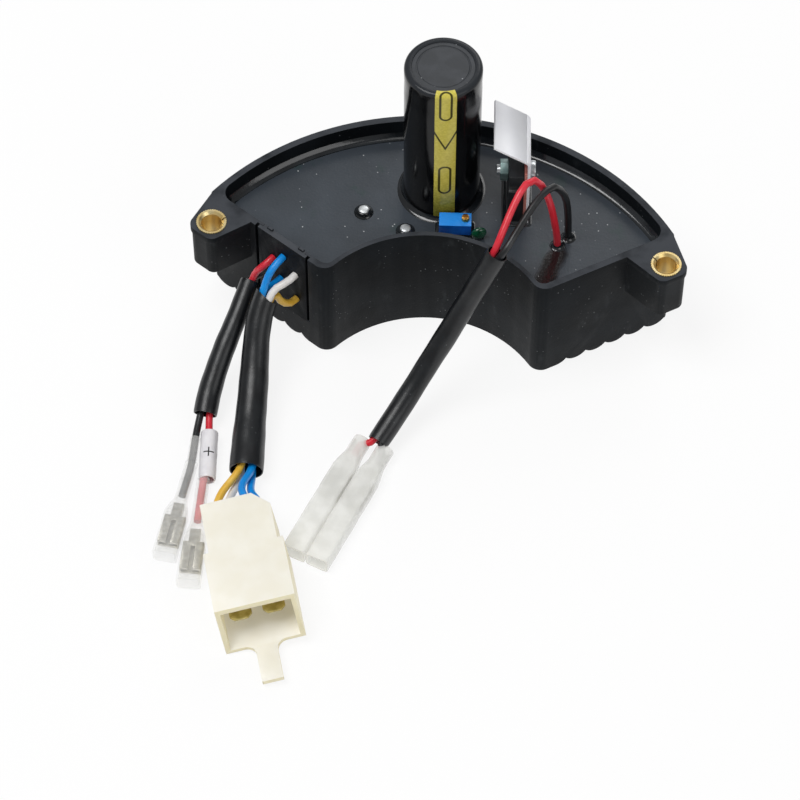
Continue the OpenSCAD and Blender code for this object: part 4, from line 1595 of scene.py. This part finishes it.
@dataclass
class Harness:
    """Wires, sleeves, boots and plug; routes and sizes in millimetres.

    Attributes:
        wire_d: diameter of the plug's wires.
        spade_d: diameter of the wires that end in boots.
        skin: wall of the black sleeves.
        side: direction from which places round the left sleeves count.
        pair: the same for the output sleeve.
        thick: route of the sleeve of the plug's wires.
        thick_r: its radius at its start and its end.
        mouth_cut: slope of the cut at its start.
        bundle: turn of the plug's wires along it, in degrees, and their distance from its axis at both ends.
        thin: route of the sleeve of the red and the black wire.
        thin_r: its radius at its start and its end.
        couple: the bundle of the red and the black wire.
        output: route of the output sleeve.
        output_r: its radius at its start and its end.
        output_off: distance of the output wires from its axis.
        output_lead: how far before its mouth they come together, and how much wider they lie there.
        loop_red: route of the red output wire, from the resin towards its sleeve.
        loop_black: the same for the black one.
        straight: how far a wire runs square to the wall, inside and outside of it.
        bend_at: shares of a wire's bend at which its route has a point.
        plug: the plug.
        plug_wires: its wires.
        plug_reach: how far they keep their direction at both ends of their bend.
        red_lead: the red wire to its boot.
        black_lead: the black wire to its boot.
        red_boot: boot of the red wire.
        black_boot: boot of the black wire.
        out_red_boot: boot of the red output wire.
        out_black_boot: boot of the black output wire.
        neck: route of the clear sleeve on the black wire.
        neck_r: its radius.
        neck_wall: its wall.
        marker_at: start of the marker tube.
        marker_turn: its turns about Z and X, in degrees.
        marker_size: its length, radius and wall.
        waves: height, rate and start of each slow wave in a sleeve's radius, along its length.
        lip: how much smaller a sleeve's outer rim is.
        boot_cone: length of a boot's shoulder.
        boot_half: half the width and half the height of a boot's box.
        boot_square: how square a box is; 0 is round.
        boot_wall: wall of a boot.
        boot_dents: depth and rate of the dents in a box's sides.
        terminal_edge: width of a terminal's rounded edges.
    """

    wire_d: float = 2.2
    spade_d: float = 2.1
    skin: float = 0.4
    side: Vector = field(default_factory=lambda: Vector((1, 0, 0)))
    pair: Vector = field(default_factory=lambda: Vector((0.8, -0.6, 0)))
    thick: Ring = way(
        (-47.9, -30.1, 24.4), (-49, -34, 21.5), (-49.5, -38.6, 18.1), (-49.4, -44.2, 14.2),
        (-49.1, -50.5, 10.6), (-48.8, -57.5, 8), (-48.5, -64.5, 6.4), (-48.1, -71, 5.5), (-47.7, -77.2, 5),
    )
    thick_r: Flat = (3.5, 5.0)
    mouth_cut: float = 0.5
    bundle: Place = (180.0, 1.72, 2.3)
    thin: Ring = way(
        (-53.6, -22.9, 21.6), (-55.1, -28.4, 18.8), (-56.8, -34.6, 16.2), (-58.7, -41, 13.4),
        (-60.4, -47, 10), (-61.7, -53, 6.6), (-62.2, -59, 4.4),
    )
    thin_r: Flat = (2.8, 3.5)
    couple: Place = (-60.0, 1.15, 1.3)
    output: Ring = way(
        (17.8, -27.7, 52), (13.8, -30.8, 43.8), (9.7, -34.2, 35.4), (5.2, -38.6, 26.6),
        (0.6, -43.4, 18.6), (-3.8, -49.4, 12.2), (-8, -56.2, 7.7), (-11.8, -63.2, 5),
    )
    output_r: Flat = (3.2, 3.2)
    output_off: float = 1.15
    output_lead: Flat = (2.0, 1.25)
    loop_red: Ring = way(
        (33.6, -9, 33.5), (33.3, -9, 38), (32.3, -8.7, 44.5), (31, -8.3, 51), (28.9, -8, 57.6),
        (26.4, -8.4, 62), (23.9, -10.8, 63), (21.4, -15.6, 60.6),
    )
    loop_black: Ring = way(
        (36.4, -5.6, 33.5), (36.2, -5.6, 38), (35.9, -5.4, 44), (35.2, -5.3, 50), (33.7, -5.9, 55),
        (31.2, -7.8, 58.9), (28, -12, 59.2), (24.6, -18, 57.2),
    )
    straight: float = 2.0
    bend_at: Flat = (0.36, 0.72)
    plug: Plug = field(default_factory=Plug)
    plug_wires: tuple[PlugWire, ...] = (
        PlugWire("wire_blue", BLUE, "wire_blue", (52.3, 33.4), 135, (4.5, 6.5, 5.6), (1, 1)),
        PlugWire("wire_blue_2", BLUE, "wire_blue", (53.5, 22.3), 225, (2.2, 6.5, 8.2), (1, -1)),
        PlugWire("wire_white", WHITE, "wire_white", (48, 28.5), 45, (-1.4, 6.5, 5.4), (-1, 1)),
        PlugWire("wire_yellow", YELLOW, "wire_yellow", (47.9, 17.4), 315, (-3.9, 6.5, 7.6), (-1, -1)),
    )
    plug_reach: float = 4.5
    red_lead: SpadeWire = SpadeWire("wire_red", (56.2, 30), 60, 4, ((-60.3, -64.4, 3.4), (-59.7, -72, 3)))
    black_lead: SpadeWire = SpadeWire("wire_black", (58.6, 22.5), 240, 1.6, ((-63.9, -66, 3.2),))
    red_boot: BootSpot = BootSpot("red", (-59.6, -80.4, 2.8), 1.4, BootKind.RED)
    black_boot: BootSpot = BootSpot("black", (-63.8, -75.5, 2.8), -5.3, BootKind.BLACK)
    out_red_boot: BootSpot = BootSpot("output_red", (-17.1, -63.6, 2.8), -20, BootKind.OUTPUT)
    out_black_boot: BootSpot = BootSpot("output_black", (-10.3, -66, 2.8), -20, BootKind.OUTPUT)
    neck: Ring = way((-63.89, -66.6, 3.17), (-63.81, -74.6, 2.84))
    neck_r: Flat = (1.45, 1.45)
    neck_wall: float = 0.3
    marker_at: Place = (-60.1, -64.6, 3.3)
    marker_turn: Flat = (5.5, 92.5)
    marker_size: Place = (15.5, 2.5, 0.5)
    waves: tuple[Place, ...] = ((0.012, 17, 0), (0.008, 41, 1))
    lip: float = 0.08
    boot_cone: float = 7.5
    boot_half: Flat = (3.5, 2.8)
    boot_square: float = 5.0
    boot_wall: float = 0.5
    boot_dents: Flat = (0.1, 1.7)
    terminal_edge: float = 0.2

    def bend(self, hole: Flat, inside: Ring, route: Ring, reach: float) -> Ring:
        """The wire's start: square out of the wall, then into the mouth of a sleeve.

        Args:
            hole: place along the wall and height of its hole.
            inside: its own route in the sleeve.
            route: the sleeve's route.
            reach: how far it keeps its direction at both ends of the bend.

        Returns:
            Its route up to the sleeve's end.
        """
        u, z = hole
        a, b = wall_point(u, self.straight, z), wall_point(u, self.straight + reach, z)
        d = inside[0]
        c = d - reach * tangent(route, 0)
        points = [wall_point(u, -self.straight, z), a]
        for t in self.bend_at:
            s = 1 - t
            points.append(s**3 * a + 3 * t * s * s * b + 3 * t * t * s * c + t**3 * d)
        return points + inside

    def wire(
        self, name: str, route: Ring, diameter: float, finish: Finish, slot: str,
    ) -> None:
        """Args:
            name: the CAD node that it replaces.
            route: its points.
            diameter: its diameter.
            finish: its finish.
            slot: the record's material slot.
        """
        points = [p * MM for p in smooth(route, WIRE_POINTS)]
        curve = bpy.data.curves.new(f"{name}_insulation", "CURVE")
        curve.dimensions = "3D"
        curve.bevel_depth = diameter / 2 * MM
        curve.bevel_resolution = 6
        curve.use_fill_caps = True
        line = curve.splines.new("POLY")
        line.points.add(len(points) - 1)
        for spot, p in zip(line.points, points):
            spot.co = (*p, 1)
        line.use_smooth = True
        made = bpy.data.objects.new(curve.name, curve)
        bpy.context.scene.collection.objects.link(made)
        place(made, finish, slot, name)
        length = sum((q - p).length for p, q in zip(points, points[1:]))

    def sleeve(
        self, name: str, slot: str, finish: Finish, route: Ring, radii: Flat, wall: float, ref: Vector,
        cut: float = 0.0, sides: int = 40,
    ) -> bpy.types.Object:
        """Makes a hollow sleeve along a route.

        Args:
            name: the CAD node that it replaces.
            slot: the record's material slot.
            finish: its finish.
            route: its centre line.
            radii: outer radius at its start and its end.
            wall: its thickness.
            ref: direction from which its sides count.
            cut: slope of the cut at its start.
            sides: number of sides.

        Returns:
            The sleeve.
        """
        line = smooth(route, SLEEVE_RINGS)
        skins: list[list[Ring]] = []
        for inward in (0.0, wall):
            rings = []
            for i, p in enumerate(line):
                f = i / (len(line) - 1)
                t = tangent(line, i)
                s = unit(ref - ref.dot(t) * t)
                up = t.cross(s)
                slope = cut if i == 0 else 0.0
                ease = 1 + sum(height * math.sin(rate * f + start) for height, rate, start in self.waves)
                radius = (radii[0] + (radii[1] - radii[0]) * f) * ease - inward
                lip = self.lip if i in (0, len(line) - 1) and not inward else 0.0
                rings.append(
                    [
                        (p + (radius - lip) * (math.cos(a) * (s + slope * t) + math.sin(a) * up)) * MM
                        for a in (math.tau * k / sides for k in range(sides))
                    ]
                )
            skins.append(rings)
        made = loft(f"{name}_tube", skins[0] + skins[1][::-1], closed=True, crease=50)
        return place(made, finish, slot, name)

    def boot(self, spot: BootSpot, finish: Finish) -> bpy.types.Object:
        """Makes a soft boot: round neck, flared shoulder and a rounded box, hollow and open at both ends.

        Args:
            spot: its place and shape.
            finish: its finish.

        Returns:
            The boot.
        """
        neck, box, round_r, lip = spot.kind.value
        wide, high = self.boot_half
        depth, rate = self.boot_dents
        stations: list[Flat] = [(lip, 0.0), (-neck * 0.5, 0.0), (-neck, 0.0)]
        stations += [
            (-neck - self.boot_cone * k / CURVE_PARTS, (1 - math.cos(math.pi * k / CURVE_PARTS)) / 2)
            for k in range(1, CURVE_PARTS + 1)
        ]
        stations += [(-neck - self.boot_cone - box * k / 6, 1.0) for k in range(1, 7)]
        turns = [math.tau * j / BOOT_SIDES for j in range(BOOT_SIDES)]
        skins: list[list[Ring]] = []
        for inward in (0.0, self.boot_wall):
            rings = []
            for k, (y, flat) in enumerate(stations):
                power = 2 / (2 + self.boot_square * flat)
                dent = depth * math.sin(rate * k) * flat
                w = round_r + (wide - round_r) * flat - inward - abs(dent)
                h = round_r + (high - round_r) * flat - inward
                ring = []
                for cos, sin in ((math.cos(a), math.sin(a)) for a in turns):
                    x = w * math.copysign(abs(cos) ** power, cos)
                    z = h * math.copysign(abs(sin) ** power, sin)
                    ring.append(spot.point(x, y, z) * MM)
                rings.append(ring)
            skins.append(rings)
        made = loft(f"boot_{spot.name}_moulding", skins[0] + skins[1][::-1], closed=True, crease=60)
        return place(made, finish, "clear_film", f"boot_{spot.name}")

    def terminal(self, spot: BootSpot) -> bpy.types.Object:
        """Dresses the push-on terminal in a boot."""
        edge = self.terminal_edge * MM
        return soften(f"terminal_{spot.name}", TERMINAL, "terminal_tin", edge, steps=2)

    def spade(
        self, name: str, route: Ring, spot: BootSpot, finish: Finish, film: Finish,
    ) -> None:
        """Makes a wire that ends in a boot with its terminal.

        Args:
            name: the CAD node that it replaces.
            route: its points up to the boot.
            spot: the boot's place and shape.
            finish: the wire's finish.
            film: the boot's finish.
        """
        ends = [spot.point(0, 0), spot.point(0, -spot.kind.value[0])]
        worn = [self.boot(spot, film), self.terminal(spot)]
        slot = "wire_red" if finish is RED else "wire_black"
        self.wire(name, route + ends, self.spade_d, finish, slot)

    def marker(self) -> bpy.types.Object:
        """Makes the white marker tube.

        Returns:
            The tube.
        """
        length, radius, wall = self.marker_size
        about_z, about_x = (math.radians(turn) for turn in self.marker_turn)
        start = Vector(self.marker_at)
        run = Matrix.Rotation(about_z, 3, "Z") @ Matrix.Rotation(about_x, 3, "X") @ Vector((0, 0, length))
        route = [start, start + run / 2, start + run]
        return self.sleeve("marker_sleeve", "marker_white", MARKER, route, (radius, radius), wall, self.side)

    def sleeves(self) -> list[bpy.types.Object]:
        """Makes the three black sleeves: thick, thin and output."""
        black = ("sleeve_black", SLEEVING)
        return [
            self.sleeve(
                "sleeve_thick", *black, self.thick, self.thick_r, self.skin, self.side, self.mouth_cut
            ),
            self.sleeve("sleeve_thin", *black, self.thin, self.thin_r, self.skin, self.side),
            self.sleeve("sleeve_output", *black, self.output, self.output_r, self.skin, self.pair),
        ]

    def build(self) -> None:
        """Builds the whole harness."""
        plug = self.plug.build()
        thick, thin, output = self.sleeves()
        for lead in self.plug_wires:
            inside = beside(self.thick, self.side, lead.turn, *self.bundle)
            route = self.bend(lead.hole, inside, self.thick, self.plug_reach) + self.plug.barrel(lead)
            pieces = [*plug, thick] if lead.name == "wire_blue" else plug
            self.wire(lead.name, route, self.wire_d, lead.finish, lead.slot)
        marker = self.marker()
        neck = self.sleeve(
            "neck_sleeve", "clear_film", CLEAR, self.neck, self.neck_r, self.neck_wall, self.side, sides=24
        )
        for lead, spot, finish, pieces in (
            (self.red_lead, self.red_boot, RED, [thin, marker]),
            (self.black_lead, self.black_boot, BLACK, [neck]),
        ):
            inside = beside(self.thin, self.side, lead.turn, *self.couple)
            route = self.bend(lead.hole, inside, self.thin, lead.reach) + vectors(*lead.tail)
            self.spade(lead.name, route, spot, finish, CLEAR)
        back, spread = self.output_lead
        for name, loop, ang, spot, finish, pieces in (
            ("wire_output_red", self.loop_red, 180, self.out_red_boot, RED, [output]),
            ("wire_output_black", self.loop_black, 0, self.out_black_boot, BLACK, []),
        ):
            inside = beside(self.output, self.pair, ang, 0, self.output_off, self.output_off)
            lead_in = self.output[0] - back * tangent(self.output, 0) + spread * (inside[0] - self.output[0])
            self.spade(name, [*loop, lead_in, *inside], spot, finish, CLEAR_PAIR)


# Studio


@dataclass
class Studio:
    """Camera, lamps, floor and world.

    Attributes:
        aim: point between the bushes, in metres.
        elevation: camera's height angle, in degrees.
        azimuth: its turn to the right, in degrees.
        roll: its roll, in degrees.
        distance: distance from the aim, in metres.
        focal: focal length in pixels of an 800-pixel frame.
        aim_px: place of the aim in the frame, in pixels right of and above its middle.
        frame_px: width of the frame, in pixels.
        sky: strength of the world as a lamp.
        paper: share of even white in the floor where it is seen.
        paper_glow: strength of that white.
        floor_half: half the floor's width, in metres.
        floor_tone: how pale the floor is as a surface.
        lit: point that the lamps face, in metres.
        lamps: name, place in metres, width in metres and power in watts of each lamp.
    """

    aim: Place = (0.0, -0.01694, 0.04)
    elevation: float = 53.0
    azimuth: float = 5.4975
    roll: float = 0.9477
    distance: float = 1.0
    focal: float = 3516.0
    aim_px: Flat = (37.87, 156.80)
    frame_px: float = 800.0
    sky: float = 0.26
    paper: float = 0.84
    paper_glow: float = 1.02
    floor_half: float = 4.0
    floor_tone: float = 0.9
    lit: Place = (0.0, -0.04, 0.02)
    lamps: tuple[tuple[str, Place, float, float], ...] = (
        ("key", (-0.45, -0.2, 1.25), 0.7, 10.5),
        ("fill", (0.95, -0.75, 0.8), 0.8, 3.2),
        ("back", (0.25, 1.0, 0.8), 0.7, 3.4),
    )

    def camera(self) -> None:
        """Sets the camera at the photograph's angle."""
        e, a = math.radians(self.elevation), math.radians(self.azimuth)
        back = Vector((math.sin(a) * math.cos(e), -math.cos(a) * math.cos(e), math.sin(e)))
        right = unit((-back).cross(Vector((0, 0, 1))))
        up = right.cross(-back)
        r = math.radians(self.roll)
        right, up = math.cos(r) * right + math.sin(r) * up, -math.sin(r) * right + math.cos(r) * up
        facing = Matrix((right, up, back)).transposed()
        seen = Vector((self.aim_px[0], self.aim_px[1], -self.focal)).normalized()
        swing = seen.rotation_difference(Vector((0, 0, -1)))
        data = bpy.data.cameras.new("camera")
        data.sensor_width = 36.0
        data.lens = self.focal * data.sensor_width / self.frame_px
        data.clip_start, data.clip_end = 0.05, 20.0
        camera = bpy.data.objects.new("camera", data)
        bpy.context.scene.collection.objects.link(camera)
        camera.rotation_mode = "QUATERNION"
        camera.rotation_quaternion = facing.to_quaternion() @ swing
        camera.location = Vector(self.aim) + self.distance * back
        bpy.context.scene.camera = camera

    def lamp(self, name: str, at: Place, size: float, power: float) -> None:
        """Adds one soft lamp that faces the module.

        Args:
            name: object name.
            at: its place, in metres.
            size: its width, in metres.
            power: its power, in watts.
        """
        data = bpy.data.lights.new(name, "AREA")
        data.shape, data.size, data.energy = "SQUARE", size, power
        lamp = bpy.data.objects.new(name, data)
        bpy.context.scene.collection.objects.link(lamp)
        lamp.location = at
        aim = Vector(self.lit) - Vector(at)
        lamp.rotation_euler = aim.to_track_quat("-Z", "Y").to_euler()

    @staticmethod
    def rays(book: Book, *kinds: str) -> Term:
        """Tells kinds of ray apart.

        Args:
            book: the material or world under construction.
            kinds: the kinds, as Light Path names them.

        Returns:
            1 for rays of these kinds, and 0 for the others.
        """
        path = book.node("ShaderNodeLightPath")
        found: Value = 0.0
        for kind in kinds:
            found = Term(book, path.outputs[f"Is {kind} Ray"]).at_least(found)
        return found

    def world(self) -> None:
        """White where it is seen, and softer as a lamp."""
        world = bpy.data.worlds.new("studio")
        bpy.context.scene.world = world
        book = Book(world)
        strength = book.spread(self.rays(book, "Camera", "Transmission"), self.sky, 1.0)
        sky = book.node("ShaderNodeBackground", sockets={"Color": (1, 1, 1, 1), "Strength": strength})
        book.node("ShaderNodeOutputWorld", sockets={"Surface": Term(book, sky.outputs[0])})

    def floor(self) -> None:
        """Adds the pale floor, which keeps a faint shadow."""
        half = self.floor_half
        corners = [Vector((x, y, 0)) for x, y in ((-half, -half), (half, -half), (half, half), (-half, half))]
        made = add_mesh("floor", corners, [[0, 1, 2, 3]])
        book = Book(bpy.data.materials.new("floor_white"))
        grey = (self.floor_tone, self.floor_tone, self.floor_tone, 1)
        paper = book.node("ShaderNodeBsdfDiffuse", sockets={"Color": grey})
        glow = book.node(
            "ShaderNodeEmission", sockets={"Color": (1, 1, 1, 1), "Strength": self.paper_glow}
        )
        mixed = book.node(
            "ShaderNodeMixShader",
            sockets={
                0: self.rays(book, "Camera", "Glossy", "Transmission") * self.paper,
                1: Term(book, paper.outputs[0]),
                2: Term(book, glow.outputs[0]),
            },
        )
        book.node("ShaderNodeOutputMaterial", sockets={"Surface": Term(book, mixed.outputs[0])})
        made.data.materials.append(book.owner)

    def build(self) -> None:
        """Sets up the studio."""
        self.camera()
        for name, at, size, power in self.lamps:
            self.lamp(name, at, size, power)
        self.world()
        self.floor()
        bpy.context.scene.view_settings.view_transform = "Standard"


def main() -> None:
    """Builds the scene."""
    logging.basicConfig(level=logging.INFO, format="%(name)s: %(message)s")
    Studio().build()
    for group in (Harness(), Shell(), Tray(), StandingCapacitor(), PowerStage(), SmallParts(), PottedBoard()):
        log.info("building %s", type(group).__name__)
        group.build()


if __name__ == "__main__":
    main()
